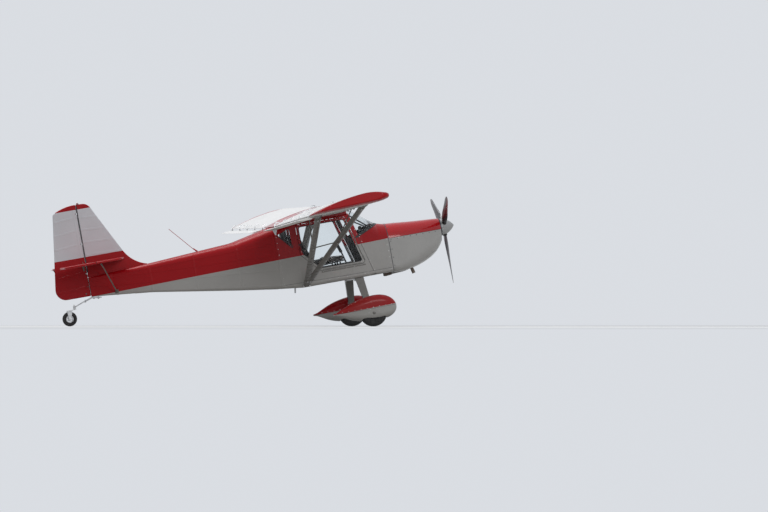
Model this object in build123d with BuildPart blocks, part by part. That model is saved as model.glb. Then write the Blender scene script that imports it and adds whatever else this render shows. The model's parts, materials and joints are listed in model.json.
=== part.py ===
from build123d import *
import math
import os

# High-wing, strut-braced, two-seat microlight aircraft that stands on its tailwheel gear.
# It is modelled level, x forward, y to the left and z up, in millimetres, from the point on the
# ground midway between the main wheels. The last section turns it to its parked attitude.

# Main wheels, tailwheel and stance
MAIN_WHEEL_RADIUS = 195
MAIN_TYRE_WIDTH = 145
MAIN_RIM_RADIUS = 80
HALF_TRACK = 1050
AXLE_RADIUS = 15
RUNNING_CLEARANCE = 0.1
TAILWHEEL_RADIUS = 105
TAILWHEEL_WIDTH = 62
TAILWHEEL_RIM_RADIUS = 52
TAILWHEEL_AXLE_RADIUS = 7
TAILWHEEL_BEHIND_STERN = 366
TAILWHEEL_Z = 851

# Fuselage stations and heights
NOSE_X = 1318
FIREWALL_X = 500
FIREWALL_THICKNESS = 6
CABIN_REAR_X = -1130
REAR_LENGTH = 2699
STERN_X = CABIN_REAR_X - REAR_LENGTH
CABIN_HALF_WIDTH = 555
BELLY_Z = 712
CABIN_WALL = 16
COWL_WALL = 8
GLASS = 4
SEAT_GAP = 0.3
MOVING_GAP = 6
THRUST_Z = 1220
TAILWHEEL_X = STERN_X - TAILWHEEL_BEHIND_STERN

# Door and windscreen lines in the side view
DOOR_FRONT_LOW = (110, 907)
PILLAR_WIDTH = 50
PILLAR_SLOPE = -0.2816
SCREEN_BASE_CENTRE = (369, 1441)
SCREEN_BASE_SLOPE = 22.8
SCREEN_TOP_Z = 1697
CABIN_TOP_Z = 1650
DOOR_TOP_Z = 1620
DOOR_HINGE = (-CABIN_HALF_WIDTH - 5, 1632)
DOOR_HINGE_XS = (-200, -620)
DOOR_FRAME_WIDTH = 34

# Wing
HALF_SPAN = 4550
TIP_LENGTH = 150
TIP_RIB_Y = HALF_SPAN - TIP_LENGTH
ROOT_Y = CABIN_HALF_WIDTH + 5
WING_CHORD = 1130
ROOT_LE_Z = 1740
DIHEDRAL = 1.0
INCIDENCE = 4.5

# Flaperons
FLAPERON_CHORD = 215
FLAPERON_ROOT_Y = ROOT_Y + 80
FLAPERON_TIP_Y = TIP_RIB_Y - 30
FLAPERON_DROP = 45
FLAPERON_LE_AHEAD = 34
HINGE_BEHIND_TE = 6.5
HINGE_BELOW_TE = 16
HINGE_ARM_COUNT = 5
HINGE_ARM_INSET = (60, 70)
ARM_THICKNESS = 8

# Lift struts
STRUT_FOOT = (-809, CABIN_HALF_WIDTH + 23, BELLY_Z + 30)
STRUT_TOP_Y = 2600
FRONT_SPAR_X = -110
REAR_SPAR_X = -760

# Tail
HINGE_X = STERN_X - 21
TAIL_TOP_Z = 2452
RUDDER_FOOT_Z = 1124
TAIL_THICKNESS = 30
TAIL_GAP = 6
TAIL_EDGE = 11
ELEVATOR_HINGE_X = STERN_X + 29
STABILIZER_Z = 1580
STABILIZER_HALF_SPAN = 1200

# Propeller
PROP_RADIUS = 830
SPINNER_RADIUS = 124
SPINNER_BASE_X = NOSE_X + 17
PROP_X = SPINNER_BASE_X + 60
SPINNER_LENGTH = 213
SHAFT_RADIUS = 48

# Cabin and rear fuselage sections: station, half width, bottom, top, shoulder radius, keel radius
CABIN_SECTIONS = [
    (FIREWALL_X, 395, BELLY_Z, 1412, 230, 45),
    (SCREEN_BASE_CENTRE[0], 440, BELLY_Z, SCREEN_BASE_CENTRE[1], 240, 45),
    (DOOR_FRONT_LOW[0], CABIN_HALF_WIDTH - 35, BELLY_Z, 1622, 210, 45),
    (-100, CABIN_HALF_WIDTH - 10, BELLY_Z, 1769, 160, 45),
    (-850, CABIN_HALF_WIDTH, BELLY_Z, 1769, 160, 45),
    (CABIN_REAR_X, CABIN_HALF_WIDTH - 50, BELLY_Z + 33, 1640, 120, 45),
]
REAR_SECTIONS = [
    CABIN_SECTIONS[-1],
    (CABIN_REAR_X - 0.2127 * REAR_LENGTH, CABIN_HALF_WIDTH - 145, BELLY_Z + 116, 1518, 110, 40),
    (CABIN_REAR_X - 0.678 * REAR_LENGTH, 190, 1026, 1436, 70, 30),
    (STERN_X, 24, 1112, 1392, 18, 15),
]
COWL_SECTIONS = [
    (FIREWALL_X + FIREWALL_THICKNESS, 395, BELLY_Z, 1412, 230, 90),
    (820, 362, 718, 1389, 225, 150),
    (1060, 308, 795, 1371, 200, 190),
    (1230, 246, 905, 1360, 160, 175),
    (NOSE_X, 188, 1020, 1350, 120, 140),
]


# Heights and stations that follow from the tables
def rear_top_z(x):
    """Height of the rear fuselage's top line at a station behind the cabin."""
    for fore, aft in zip(REAR_SECTIONS, REAR_SECTIONS[1:]):
        if x >= aft[0]:
            break
    return fore[3] + (aft[3] - fore[3]) * (x - fore[0]) / (aft[0] - fore[0])


first_arm = FLAPERON_ROOT_Y + HINGE_ARM_INSET[0]
last_arm = FLAPERON_TIP_Y - HINGE_ARM_INSET[1]
arm_pitch = (last_arm - first_arm) / (HINGE_ARM_COUNT - 1)
HINGE_ARM_YS = [first_arm + i * arm_pitch for i in range(HINGE_ARM_COUNT)]


# Planes and outlines that several pieces share
def station_plane(x):
    return Plane(origin=(x, 0, 0), x_dir=(0, 1, 0), z_dir=(1, 0, 0))


def wing_leading_edge_z(y):
    return ROOT_LE_Z + (abs(y) - ROOT_Y) * math.tan(math.radians(DIHEDRAL))


def trailing_edge(y):
    """x and z of the wing's trailing edge at a distance y from the centre."""
    angle = math.radians(INCIDENCE)
    return -WING_CHORD * math.cos(angle), wing_leading_edge_z(y) - WING_CHORD * math.sin(angle)


def wing_plane(y, ahead=0, lift=0):
    """Section plane at y, with local x aft along the chord and local y up."""
    angle = math.radians(INCIDENCE)
    return Plane(
        origin=(ahead, y, wing_leading_edge_z(y) + lift),
        x_dir=(-math.cos(angle), 0, -math.sin(angle)),
        z_dir=(0, 1, 0),
    )


def hull_outline(half_width, bottom, top, shoulder, keel):
    """Flat-sided body section with round shoulders and keel corners."""
    with Locations((0, (bottom + top) / 2)):
        Rectangle(2 * half_width, top - bottom)
    fillet(vertices().group_by(Axis.Y)[-1], shoulder)
    fillet(vertices().group_by(Axis.Y)[0], keel)


def lofted_hull(sections, inset=0, ruled=True):
    """Solid through a table of sections, each drawn in by inset."""
    with BuildPart() as hull:
        for station, half_width, bottom, top, shoulder, keel in sections:
            with BuildSketch(station_plane(station)):
                hull_outline(
                    half_width - inset,
                    bottom + inset,
                    top - inset,
                    shoulder - inset,
                    max(keel - inset, 5),
                )
        loft(ruled=ruled)
    return hull.part


def airfoil_outline(chord):
    """Cambered section with its nose at the origin: two upper arcs, a nose arc and a flat belly."""
    crest = (0.30 * chord, 0.093 * chord)
    nose_top = (0.03 * chord, 0.035 * chord)
    nose_low = (0.035 * chord, -0.025 * chord)
    belly = (0.16 * chord, -0.040 * chord)
    tail_top = (chord, 0.002 * chord)
    tail_low = (chord, -0.003 * chord)
    with BuildLine() as outline:
        TangentArc(crest, tail_top, tangent=(1, 0))
        front = TangentArc(crest, nose_top, tangent=(-1, 0))
        nose = TangentArc(nose_top, nose_low, tangent=front % 1)
        TangentArc(nose_low, belly, tangent=nose % 1)
        Line(belly, tail_low)
        Line(tail_low, tail_top)
    make_face(outline.edges())


def lens_outline(chord, thickness):
    """Streamlined strut section of two arcs, its chord along local x."""
    half = chord / 2
    with BuildLine() as outline:
        ThreePointArc((-half, 0), (0, thickness / 2), (half, 0))
        ThreePointArc((half, 0), (0, -thickness / 2), (-half, 0))
    make_face(outline.edges())


def rod_between(start, end, radius, mode=Mode.ADD):
    """Adds a round tube from start to end to the part being built, or cuts one away."""
    start, end = Vector(start), Vector(end)
    with BuildSketch(Plane(origin=start, z_dir=end - start)) as section:
        Circle(radius)
    extrude(section.sketch, amount=(end - start).length, mode=mode)


def strut_between(start, end, chord, thickness):
    """Adds a streamlined strut, its chord fore and aft, to the part being built."""
    start, end = Vector(start), Vector(end)
    axis = (end - start).normalized()
    fore = Vector(1, 0, 0) - axis * axis.X
    with BuildSketch(Plane(origin=start, x_dir=fore, z_dir=axis)) as section:
        lens_outline(chord, thickness)
    extrude(section.sketch, amount=(end - start).length)


def side_outline(points, radius):
    """Closed side-view outline with its corners rounded."""
    Polygon(*points, align=None)
    fillet(vertices(), radius)


def mirrored(piece):
    """The same piece on the left side."""
    with BuildPart() as left:
        mirror(piece.part, about=Plane.XZ)
    return left


# Planes that cut the cabin into its panels
def pillar_line_x(z, ahead=0):
    """x of the door's front edge at height z, or of a line that far ahead of it."""
    return DOOR_FRONT_LOW[0] + ahead + (z - DOOR_FRONT_LOW[1]) * PILLAR_SLOPE


PILLAR_PLANE = Plane(
    origin=(pillar_line_x(DOOR_FRONT_LOW[1], PILLAR_WIDTH), 0, DOOR_FRONT_LOW[1]),
    x_dir=(0, 1, 0),
    z_dir=(1, 0, -PILLAR_SLOPE),
)
BASE_ANGLE = math.radians(SCREEN_BASE_SLOPE)
SCREEN_BASE_PLANE = Plane(
    origin=(SCREEN_BASE_CENTRE[0], 0, SCREEN_BASE_CENTRE[1]),
    x_dir=(0, 1, 0),
    z_dir=(-math.sin(BASE_ANGLE), 0, math.cos(BASE_ANGLE)),
)

cabin_hull = lofted_hull(CABIN_SECTIONS)
cabin_space = lofted_hull(CABIN_SECTIONS, CABIN_WALL)
cabin_glass_core = lofted_hull(CABIN_SECTIONS, GLASS)


# Door opening, door leaf and window outlines, each drawn in from the one before
def door_points(inset):
    """Corners of the door in the side view, drawn in by inset on every side."""
    low = DOOR_FRONT_LOW[1] + inset
    high = DOOR_TOP_Z - inset
    rear = -822 + inset
    return [
        (pillar_line_x(low) - inset, low),
        (pillar_line_x(high) - inset, high),
        (rear, high),
        (rear, 1180 + inset * 0.4),
        (-570 + inset * 0.4, low),
    ]


def door_prism(inset, radius):
    """Solid of the door's outline, right through the right side wall."""
    with BuildPart() as prism:
        with BuildSketch(Plane.XZ.offset(CABIN_HALF_WIDTH - 155)):
            side_outline(door_points(inset), radius)
        extrude(amount=200)
    return prism.part


QUARTER_WINDOW = [(-1095, 1519), (-920, 1590), (-912, 1310)]


def quarter_window_prism(inset):
    with BuildPart() as prism:
        with BuildSketch(Plane.XZ.offset(CABIN_HALF_WIDTH - 155)):
            side_outline(QUARTER_WINDOW, 14)
            if inset:
                offset(amount=-inset, mode=Mode.REPLACE)
        extrude(amount=200)
    return prism.part


door_opening = door_prism(0, 45)
quarter_opening = quarter_window_prism(0)

def hinge_knuckles(spans):
    """Adds lengths of hinge barrel along the right door's hinge line, at each of its two hinges."""
    for hinge_x in DOOR_HINGE_XS:
        for start, end in spans:
            rod_between(
                (hinge_x + start, *DOOR_HINGE), (hinge_x + end, *DOOR_HINGE), HINGE_BARREL_RADIUS
            )


def box_from(low, high, mode=Mode.ADD):
    """Adds a box given by its two opposite corners."""
    size = [b - a for a, b in zip(low, high)]
    with Locations(tuple((a + b) / 2 for a, b in zip(low, high))):
        Box(*size, mode=mode)


HINGE_BARREL_RADIUS = 5

# Cabin shell: floor and side walls behind the pillars, with the door and quarter window openings
with BuildPart() as hinge_leaves_right:
    hinge_knuckles([(-15, 15)])
    for hinge_x in DOOR_HINGE_XS:
        box_from(
            (hinge_x - 15, DOOR_HINGE[0] - 3, DOOR_HINGE[1]),
            (hinge_x + 15, DOOR_HINGE[0] + 18, CABIN_TOP_Z - 1),
        )

with BuildPart() as cabin_shell:
    add(cabin_hull)
    add(cabin_space, mode=Mode.SUBTRACT)
    split(bisect_by=PILLAR_PLANE, keep=Keep.BOTTOM)
    split(bisect_by=Plane.XY.offset(CABIN_TOP_Z), keep=Keep.BOTTOM)
    for cutter in (door_opening, quarter_opening):
        add(cutter, mode=Mode.SUBTRACT)
        add(mirror(cutter, about=Plane.XZ), mode=Mode.SUBTRACT)
    add(hinge_leaves_right.part)
    add(mirror(hinge_leaves_right.part, about=Plane.XZ))

# Boot cowl: the panels between the pillars, the windscreen and the firewall
with BuildPart() as boot_cowl:
    add(cabin_hull)
    add(cabin_space, mode=Mode.SUBTRACT)
    split(bisect_by=PILLAR_PLANE, keep=Keep.TOP)
    split(bisect_by=SCREEN_BASE_PLANE, keep=Keep.BOTTOM)

# Windscreen: one wrapped sheet from pillar to pillar
with BuildPart() as windscreen:
    add(cabin_hull)
    add(cabin_glass_core, mode=Mode.SUBTRACT)
    split(bisect_by=PILLAR_PLANE, keep=Keep.TOP)
    split(bisect_by=SCREEN_BASE_PLANE, keep=Keep.TOP)
    split(bisect_by=Plane.XY.offset(SCREEN_TOP_Z), keep=Keep.BOTTOM)

# Doors: a framed leaf that hinges under the wing root, and its pane
with BuildPart() as door_right:
    add(cabin_hull)
    add(cabin_space, mode=Mode.SUBTRACT)
    add(door_prism(MOVING_GAP, 40), mode=Mode.INTERSECT)
    add(door_prism(MOVING_GAP + DOOR_FRAME_WIDTH, 30), mode=Mode.SUBTRACT)
    hinge_knuckles([(-41, -15.5), (15.5, 41)])
    for hinge_x in DOOR_HINGE_XS:
        for start, end in ((-41, -15.5), (15.5, 41)):
            leaf_y = DOOR_HINGE[0] - 3
            box_from((hinge_x + start, leaf_y, 1600), (hinge_x + end, leaf_y + 6, DOOR_HINGE[1]))
            box_from((hinge_x + start, leaf_y, 1600), (hinge_x + end, leaf_y + 21, 1612))

with BuildPart() as door_glass_right:
    add(cabin_hull)
    add(cabin_glass_core, mode=Mode.SUBTRACT)
    add(door_prism(MOVING_GAP + DOOR_FRAME_WIDTH, 30), mode=Mode.INTERSECT)

# Firewall
with BuildPart() as firewall:
    with BuildSketch(station_plane(FIREWALL_X)):
        hull_outline(*CABIN_SECTIONS[0][1:])
    extrude(amount=FIREWALL_THICKNESS)

# Rear fuselage: fabric over longerons, closed at the baggage bulkhead
with BuildPart() as rear_fuselage:
    add(lofted_hull(REAR_SECTIONS))

# Cowling: two half shells that part on the thrust line
COWL_SPLIT_Z = 1195
cowl_hull = lofted_hull(COWL_SECTIONS, ruled=False)
cowl_space = lofted_hull(
    [(s[0] - (COWL_WALL if s[0] == NOSE_X else 0), *s[1:]) for s in COWL_SECTIONS], COWL_WALL, ruled=False
)
INLET_Y = 152
INLET_Z = 1215


def cut_inlets():
    """Cheek inlets beside the spinner and the chin slot under it."""
    with BuildSketch(station_plane(NOSE_X - 60)) as inlets:
        with Locations((INLET_Y, INLET_Z), (-INLET_Y, INLET_Z)):
            Ellipse(20, 46)
        with Locations((0, 1066)):
            SlotOverall(190, 44)
        with Locations((0, THRUST_Z)):
            Circle(SHAFT_RADIUS + MOVING_GAP)
    extrude(inlets.sketch, amount=100, mode=Mode.SUBTRACT)


with BuildPart() as upper_cowl:
    add(cowl_hull)
    add(cowl_space, mode=Mode.SUBTRACT)
    split(bisect_by=Plane.XY.offset(COWL_SPLIT_Z), keep=Keep.TOP)
    cut_inlets()

# Belly scoop with its outlet, part of the lower cowl
with BuildPart() as belly_scoop:
    with BuildSketch(Plane.XZ):
        with BuildLine():
            Polyline((515, BELLY_Z), (515, 676), (650, 684))
            TangentArc((650, 684), (800, 716), tangent=(1, 0.06))
            Line((800, 716), (515, BELLY_Z))
        make_face()
    extrude(amount=130, both=True)
    add(cowl_hull, mode=Mode.SUBTRACT)

with BuildPart() as lower_cowl:
    add(belly_scoop.part)
    add(cowl_hull)
    add(cowl_space, mode=Mode.SUBTRACT)
    split(bisect_by=Plane.XY.offset(COWL_SPLIT_Z), keep=Keep.BOTTOM)
    cut_inlets()

# Engine: a flat four with finned cylinders and a reduction gearbox, on its mount tubes
ENGINE_CENTRE = (900, 0, 1150)
CRANKCASE = (440, 190, 230)
CYLINDER_XS = (790, 960)
CYLINDER_RADIUS = 58
CYLINDER_REACH = 225
FIN_COUNT = 6
FIN_PITCH = 15
HEAD_DEPTH = 45
HEAD_HALF_LENGTH = 60
HEAD_HALF_HEIGHT = 50
GEARBOX_RADIUS = 105
CARBURETTOR_RADIUS = 22
MOUNT_TUBE_RADIUS = 12
with BuildPart() as engine:
    with Locations(ENGINE_CENTRE):
        Box(*CRANKCASE)
    for cylinder_x in CYLINDER_XS:
        for side in (-1, 1):
            root = (cylinder_x, side * CRANKCASE[1] / 2, ENGINE_CENTRE[2])
            rod_between(root, (cylinder_x, side * CYLINDER_REACH, ENGINE_CENTRE[2]), CYLINDER_RADIUS - 12)
            for index in range(FIN_COUNT):
                fin_y = side * (CRANKCASE[1] / 2 + 12 + index * FIN_PITCH)
                rod_between(
                    (cylinder_x, fin_y, ENGINE_CENTRE[2]),
                    (cylinder_x, fin_y + side * 5, ENGINE_CENTRE[2]),
                    CYLINDER_RADIUS,
                )
            head_low_y, head_high_y = sorted((side * CYLINDER_REACH, side * (CYLINDER_REACH - HEAD_DEPTH)))
            box_from(
                (cylinder_x - HEAD_HALF_LENGTH, head_low_y, ENGINE_CENTRE[2] - HEAD_HALF_HEIGHT),
                (cylinder_x + HEAD_HALF_LENGTH, head_high_y, ENGINE_CENTRE[2] + HEAD_HALF_HEIGHT),
            )
    rod_between((1080, 0, THRUST_Z - 20), (1190, 0, THRUST_Z - 20), GEARBOX_RADIUS)
    rod_between((1180, 0, THRUST_Z), (SPINNER_BASE_X - SEAT_GAP, 0, THRUST_Z), SHAFT_RADIUS)
    for y in (-85, 85):
        rod_between((780, y, 1265), (780, y, 1300), CARBURETTOR_RADIUS)
    for side in (-1, 1):
        for z in (1060, 1240):
            rod_between((FIREWALL_X + FIREWALL_THICKNESS, side * 180, z), (690, side * 80, z), MOUNT_TUBE_RADIUS)
    add(firewall.part, mode=Mode.SUBTRACT)

# Propeller: three twisted blades on a hub. Columns: radius, chord, thickness, pitch in degrees
BLADE_SECTIONS = [
    (70, 52, 50, 60),
    (150, 70, 34, 52),
    (300, 104, 20, 36),
    (560, 92, 12, 23),
    (800, 52, 7, 17),
    (PROP_RADIUS, 26, 5, 16),
]
BLADE_ANGLES = (180, 60, 300)


def blade_plane(angle, radius, pitch):
    """Section plane of a blade that points at angle from straight up."""
    turn = math.radians(angle)
    out = Vector(0, math.sin(turn), math.cos(turn))
    across = Vector(1, 0, 0).cross(out)
    chord = across * math.cos(math.radians(pitch)) + Vector(1, 0, 0) * math.sin(math.radians(pitch))
    centre = Vector(PROP_X, 0, THRUST_Z) + out * radius
    return Plane(origin=centre, x_dir=chord, z_dir=out)


def blade(angle):
    with BuildPart() as one_blade:
        for radius, chord, thickness, pitch in BLADE_SECTIONS:
            with BuildSketch(blade_plane(angle, radius, pitch)):
                lens_outline(chord, thickness)
        loft()
    return one_blade.part


blades = [blade(angle) for angle in BLADE_ANGLES]
with BuildPart() as propeller:
    with BuildSketch(station_plane(SPINNER_BASE_X + 12)):
        with Locations((0, THRUST_Z)):
            Circle(78)
    extrude(amount=86)
    for one_blade in blades:
        add(one_blade)

# Spinner: a thin ogive on a backplate, cut out round each blade
with BuildPart() as spinner:
    with BuildSketch(Plane.XZ):
        with BuildLine():
            Line((SPINNER_BASE_X, THRUST_Z), (SPINNER_BASE_X, THRUST_Z + SPINNER_RADIUS))
            TangentArc(
                (SPINNER_BASE_X, THRUST_Z + SPINNER_RADIUS),
                (SPINNER_BASE_X + SPINNER_LENGTH, THRUST_Z),
                tangent=(1, 0),
            )
            Line((SPINNER_BASE_X + SPINNER_LENGTH, THRUST_Z), (SPINNER_BASE_X, THRUST_Z))
        make_face()
    revolve(axis=Axis((0, 0, THRUST_Z), (1, 0, 0)))
    with BuildSketch(Plane.XZ):
        with BuildLine():
            Line((SPINNER_BASE_X + 12, THRUST_Z), (SPINNER_BASE_X + 12, THRUST_Z + SPINNER_RADIUS - 5))
            TangentArc(
                (SPINNER_BASE_X + 12, THRUST_Z + SPINNER_RADIUS - 5),
                (SPINNER_BASE_X + SPINNER_LENGTH - 12, THRUST_Z),
                tangent=(1, 0),
            )
            Line((SPINNER_BASE_X + SPINNER_LENGTH - 12, THRUST_Z), (SPINNER_BASE_X + 12, THRUST_Z))
        make_face()
    revolve(axis=Axis((0, 0, THRUST_Z), (1, 0, 0)), mode=Mode.SUBTRACT)
    for angle in BLADE_ANGLES:
        with BuildSketch(blade_plane(angle, 80, 0)):
            Circle(36)
        extrude(amount=60, mode=Mode.SUBTRACT)

# Wings, right then left
with BuildPart() as wing_right:
    for y in (ROOT_Y, TIP_RIB_Y):
        with BuildSketch(wing_plane(-y)):
            airfoil_outline(WING_CHORD)
    loft(ruled=True)

# Wing tips: the section shrinks to a rounded end. Columns: y, chord share, ahead, lift
TIP_SECTIONS = [
    (TIP_RIB_Y, 1.0, 0, 0),
    (TIP_RIB_Y + 0.55 * TIP_LENGTH, 0.965, -16, 2),
    (TIP_RIB_Y + 0.88 * TIP_LENGTH, 0.88, -58, 9),
    (HALF_SPAN, 0.76, -118, 17),
]
with BuildPart() as wing_tip_right:
    for y, share, ahead, lift in TIP_SECTIONS:
        with BuildSketch(wing_plane(-y, ahead, lift)):
            airfoil_outline(WING_CHORD * share)
    loft()

with BuildPart() as wing_tips:
    add(wing_tip_right.part)
    mirror(wing_tip_right.part, about=Plane.XZ)


# Flaperons: a slim section behind and below the trailing edge, hinged on lugs
def hinge_point(y):
    te_x, te_z = trailing_edge(y)
    return te_x - HINGE_BEHIND_TE, te_z - HINGE_BELOW_TE


def flaperon_plane(y):
    te_x, te_z = trailing_edge(y)
    return Plane(
        origin=(te_x + FLAPERON_LE_AHEAD, -y, te_z - FLAPERON_DROP),
        x_dir=(-1, 0, 0),
        z_dir=(0, 1, 0),
    )


with BuildPart() as flaperon_right:
    for y in (FLAPERON_ROOT_Y, FLAPERON_TIP_Y):
        with BuildSketch(flaperon_plane(y)):
            airfoil_outline(FLAPERON_CHORD)
    loft(ruled=True)
    for y in HINGE_ARM_YS:
        hinge_x, hinge_z = hinge_point(y)
        with BuildSketch(Plane.XZ.offset(y + ARM_THICKNESS / 2 + 1)):
            with Locations((hinge_x, hinge_z)):
                Circle(9)
            with Locations((hinge_x, hinge_z - 15)):
                Rectangle(18, 30)
        extrude(amount=6)
        rod_between((hinge_x, -y, hinge_z), (hinge_x, -y - 14, hinge_z), 3.3, Mode.SUBTRACT)

with BuildPart() as flaperon_arms_right:
    for y in HINGE_ARM_YS:
        hinge_x, hinge_z = hinge_point(y)
        te_x, te_z = trailing_edge(y)
        with BuildSketch(Plane.XZ.offset(y - ARM_THICKNESS / 2)):
            with BuildLine():
                ThreePointArc((hinge_x - 8, hinge_z), (te_x + 16, te_z + 46), (te_x + 84, te_z + 26))
                Line((te_x + 84, te_z + 26), (te_x + 84, te_z + 10))
                ThreePointArc((te_x + 84, te_z + 10), (te_x + 20, te_z + 31), (hinge_x + 8, hinge_z))
                Line((hinge_x + 8, hinge_z), (hinge_x - 8, hinge_z))
            make_face()
            with Locations((hinge_x, hinge_z)):
                Circle(9)
        extrude(amount=ARM_THICKNESS)
        rod_between((hinge_x, -y, hinge_z), (hinge_x, -y - 14, hinge_z), 3)
    add(wing_right.part, mode=Mode.SUBTRACT)

with BuildPart() as flaperon_arms:
    add(flaperon_arms_right.part)
    mirror(flaperon_arms_right.part, about=Plane.XZ)


# Lift struts: a V on each side from one fuselage fitting to the two spars
def strut_top(x):
    angle = math.radians(INCIDENCE)
    return x, -STRUT_TOP_Y, wing_leading_edge_z(STRUT_TOP_Y) + x * math.tan(angle) - 40


with BuildPart() as lift_struts_right:
    foot = (STRUT_FOOT[0], -STRUT_FOOT[1], STRUT_FOOT[2])
    strut_between(foot, strut_top(FRONT_SPAR_X), 104, 40)
    strut_between(foot, strut_top(REAR_SPAR_X), 92, 36)
    with Locations((STRUT_FOOT[0], 11 - STRUT_FOOT[1], STRUT_FOOT[2] - 6)):
        Box(110, 24, 44)
    add(wing_right.part, mode=Mode.SUBTRACT)


def strut_point(x, share):
    """Point a share of the way up a strut."""
    foot = Vector(STRUT_FOOT[0], -STRUT_FOOT[1], STRUT_FOOT[2])
    return foot + (Vector(*strut_top(x)) - foot) * share


with BuildPart() as jury_struts_right:
    for spar_x in (FRONT_SPAR_X, REAR_SPAR_X):
        low = strut_point(spar_x, 0.55)
        rod_between(low, (spar_x, low.Y, strut_top(spar_x)[2] + 30), 8)
    rod_between(strut_point(FRONT_SPAR_X, 0.55), strut_point(REAR_SPAR_X, 0.55), 8)
    add(wing_right.part, mode=Mode.SUBTRACT)
    add(lift_struts_right.part, mode=Mode.SUBTRACT)

with BuildPart() as lift_struts:
    add(lift_struts_right.part)
    add(jury_struts_right.part)
    mirror(about=Plane.XZ)

# Hinges of the rudder and the elevator: an eye on the fixed surface round a pin in the moving one
TAIL_PIN_RADIUS = 4
TAIL_EYE_WIDTH = 6
RUDDER_HINGE_ZS = (1450, 1880, 2320)
ELEVATOR_HINGE_YS = (-260, -1080)


def round_rims(axis, radius, fixed_edge):
    """Rounds both rims of a flat surface, but not along the edge that stays square."""
    rims = edges().group_by(axis)[0] + edges().group_by(axis)[-1]
    fillet([e for e in rims if not fixed_edge(e.center())], radius)


def hinge_ends(centre, direction, half_length):
    """Two ends of a short length of hinge line."""
    reach = Vector(*direction) * half_length
    return Vector(*centre) - reach, Vector(*centre) + reach


def hinge_eye(centre, direction):
    """Adds an eye that reaches back from the fixed surface to the hinge line."""
    rod_between(*hinge_ends(centre, direction, TAIL_EYE_WIDTH / 2), 11)
    bar = [10, 10, 10]
    bar[0] = TAIL_THICKNESS
    bar[direction.index(1)] = TAIL_EYE_WIDTH
    with Locations((centre[0] + TAIL_THICKNESS / 2, centre[1], centre[2])):
        Box(*bar)
    rod_between(*hinge_ends(centre, direction, TAIL_EYE_WIDTH), TAIL_PIN_RADIUS + SEAT_GAP, Mode.SUBTRACT)


def hinge_pin(centre, direction):
    """Cuts a slot for the eye in the moving surface and leaves the pin across it."""
    rod_between(*hinge_ends(centre, direction, 9), TAIL_THICKNESS / 2 + TAIL_GAP, Mode.SUBTRACT)
    rod_between(*hinge_ends(centre, direction, 12), TAIL_PIN_RADIUS)


# Fin, with its dorsal fillet
FIN_FOOT_Z = REAR_SECTIONS[-1][3]
FIN_CORNER = (STERN_X + 167, TAIL_TOP_Z - 6)
FIN_CORNER_RADIUS = 130
FIN_FRONT = (STERN_X + 556, 1694)
FILLET_X = FIN_FRONT[0] + 313
FILLET_Z = rear_top_z(FILLET_X) + 9
FIN_SINK = 12
with BuildPart() as fin:
    with BuildSketch(Plane.XZ.offset(-TAIL_THICKNESS / 2)):
        with BuildLine():
            Line((STERN_X, FIN_FOOT_Z - FIN_SINK), (STERN_X, TAIL_TOP_Z))
            Line((STERN_X, TAIL_TOP_Z), FIN_CORNER)
            Line(FIN_CORNER, FIN_FRONT)
            TangentArc(FIN_FRONT, (FILLET_X, FILLET_Z), tangent=Vector(*FIN_FRONT) - Vector(*FIN_CORNER))
            Line((FILLET_X, FILLET_Z), (FILLET_X, FILLET_Z - FIN_SINK - 9))
            Line((FILLET_X, FILLET_Z - FIN_SINK - 9), (STERN_X, FIN_FOOT_Z - FIN_SINK))
        make_face()
        fillet(vertices().sort_by_distance(FIN_CORNER)[0], FIN_CORNER_RADIUS)
    extrude(amount=TAIL_THICKNESS)
    round_rims(Axis.Y, TAIL_EDGE, lambda c: c.X < STERN_X + 1 or c.X > FILLET_X - 1 or c.Z < FILLET_Z - 20)
    add(rear_fuselage.part, mode=Mode.SUBTRACT)
    rod_between(
        (ELEVATOR_HINGE_X, -60, STABILIZER_Z),
        (ELEVATOR_HINGE_X, 60, STABILIZER_Z),
        TAIL_THICKNESS / 2 + TAIL_GAP,
        Mode.SUBTRACT,
    )
    for hinge_z in RUDDER_HINGE_ZS:
        hinge_eye((HINGE_X, 0, hinge_z), (0, 0, 1))

with BuildPart() as rudder:
    with BuildSketch(Plane.XZ.offset(-TAIL_THICKNESS / 2)):
        with BuildLine():
            Line((HINGE_X, TAIL_TOP_Z), (HINGE_X, RUDDER_FOOT_Z))
            Line((HINGE_X, RUDDER_FOOT_Z), (HINGE_X - 499, RUDDER_FOOT_Z))
            Line((HINGE_X - 499, RUDDER_FOOT_Z), (HINGE_X - 328, TAIL_TOP_Z - 89))
            TangentArc((HINGE_X, TAIL_TOP_Z), (HINGE_X - 328, TAIL_TOP_Z - 89), tangent=(-1, 0))
        make_face()
        foot_corner, top_corner = vertices().sort_by(Axis.X)[0:2]
        fillet(foot_corner, 150)
        fillet(vertices().sort_by_distance(top_corner)[0], 40)
    extrude(amount=TAIL_THICKNESS)
    round_rims(Axis.Y, TAIL_EDGE, lambda c: c.X > HINGE_X - 1)
    with BuildSketch(Plane.XY.offset(RUDDER_FOOT_Z)):
        with Locations((HINGE_X, 0)):
            Circle(TAIL_THICKNESS / 2)
    extrude(amount=TAIL_TOP_Z - RUDDER_FOOT_Z - 2)
    for hinge_z in RUDDER_HINGE_ZS:
        hinge_pin((HINGE_X, 0, hinge_z), (0, 0, 1))

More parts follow.
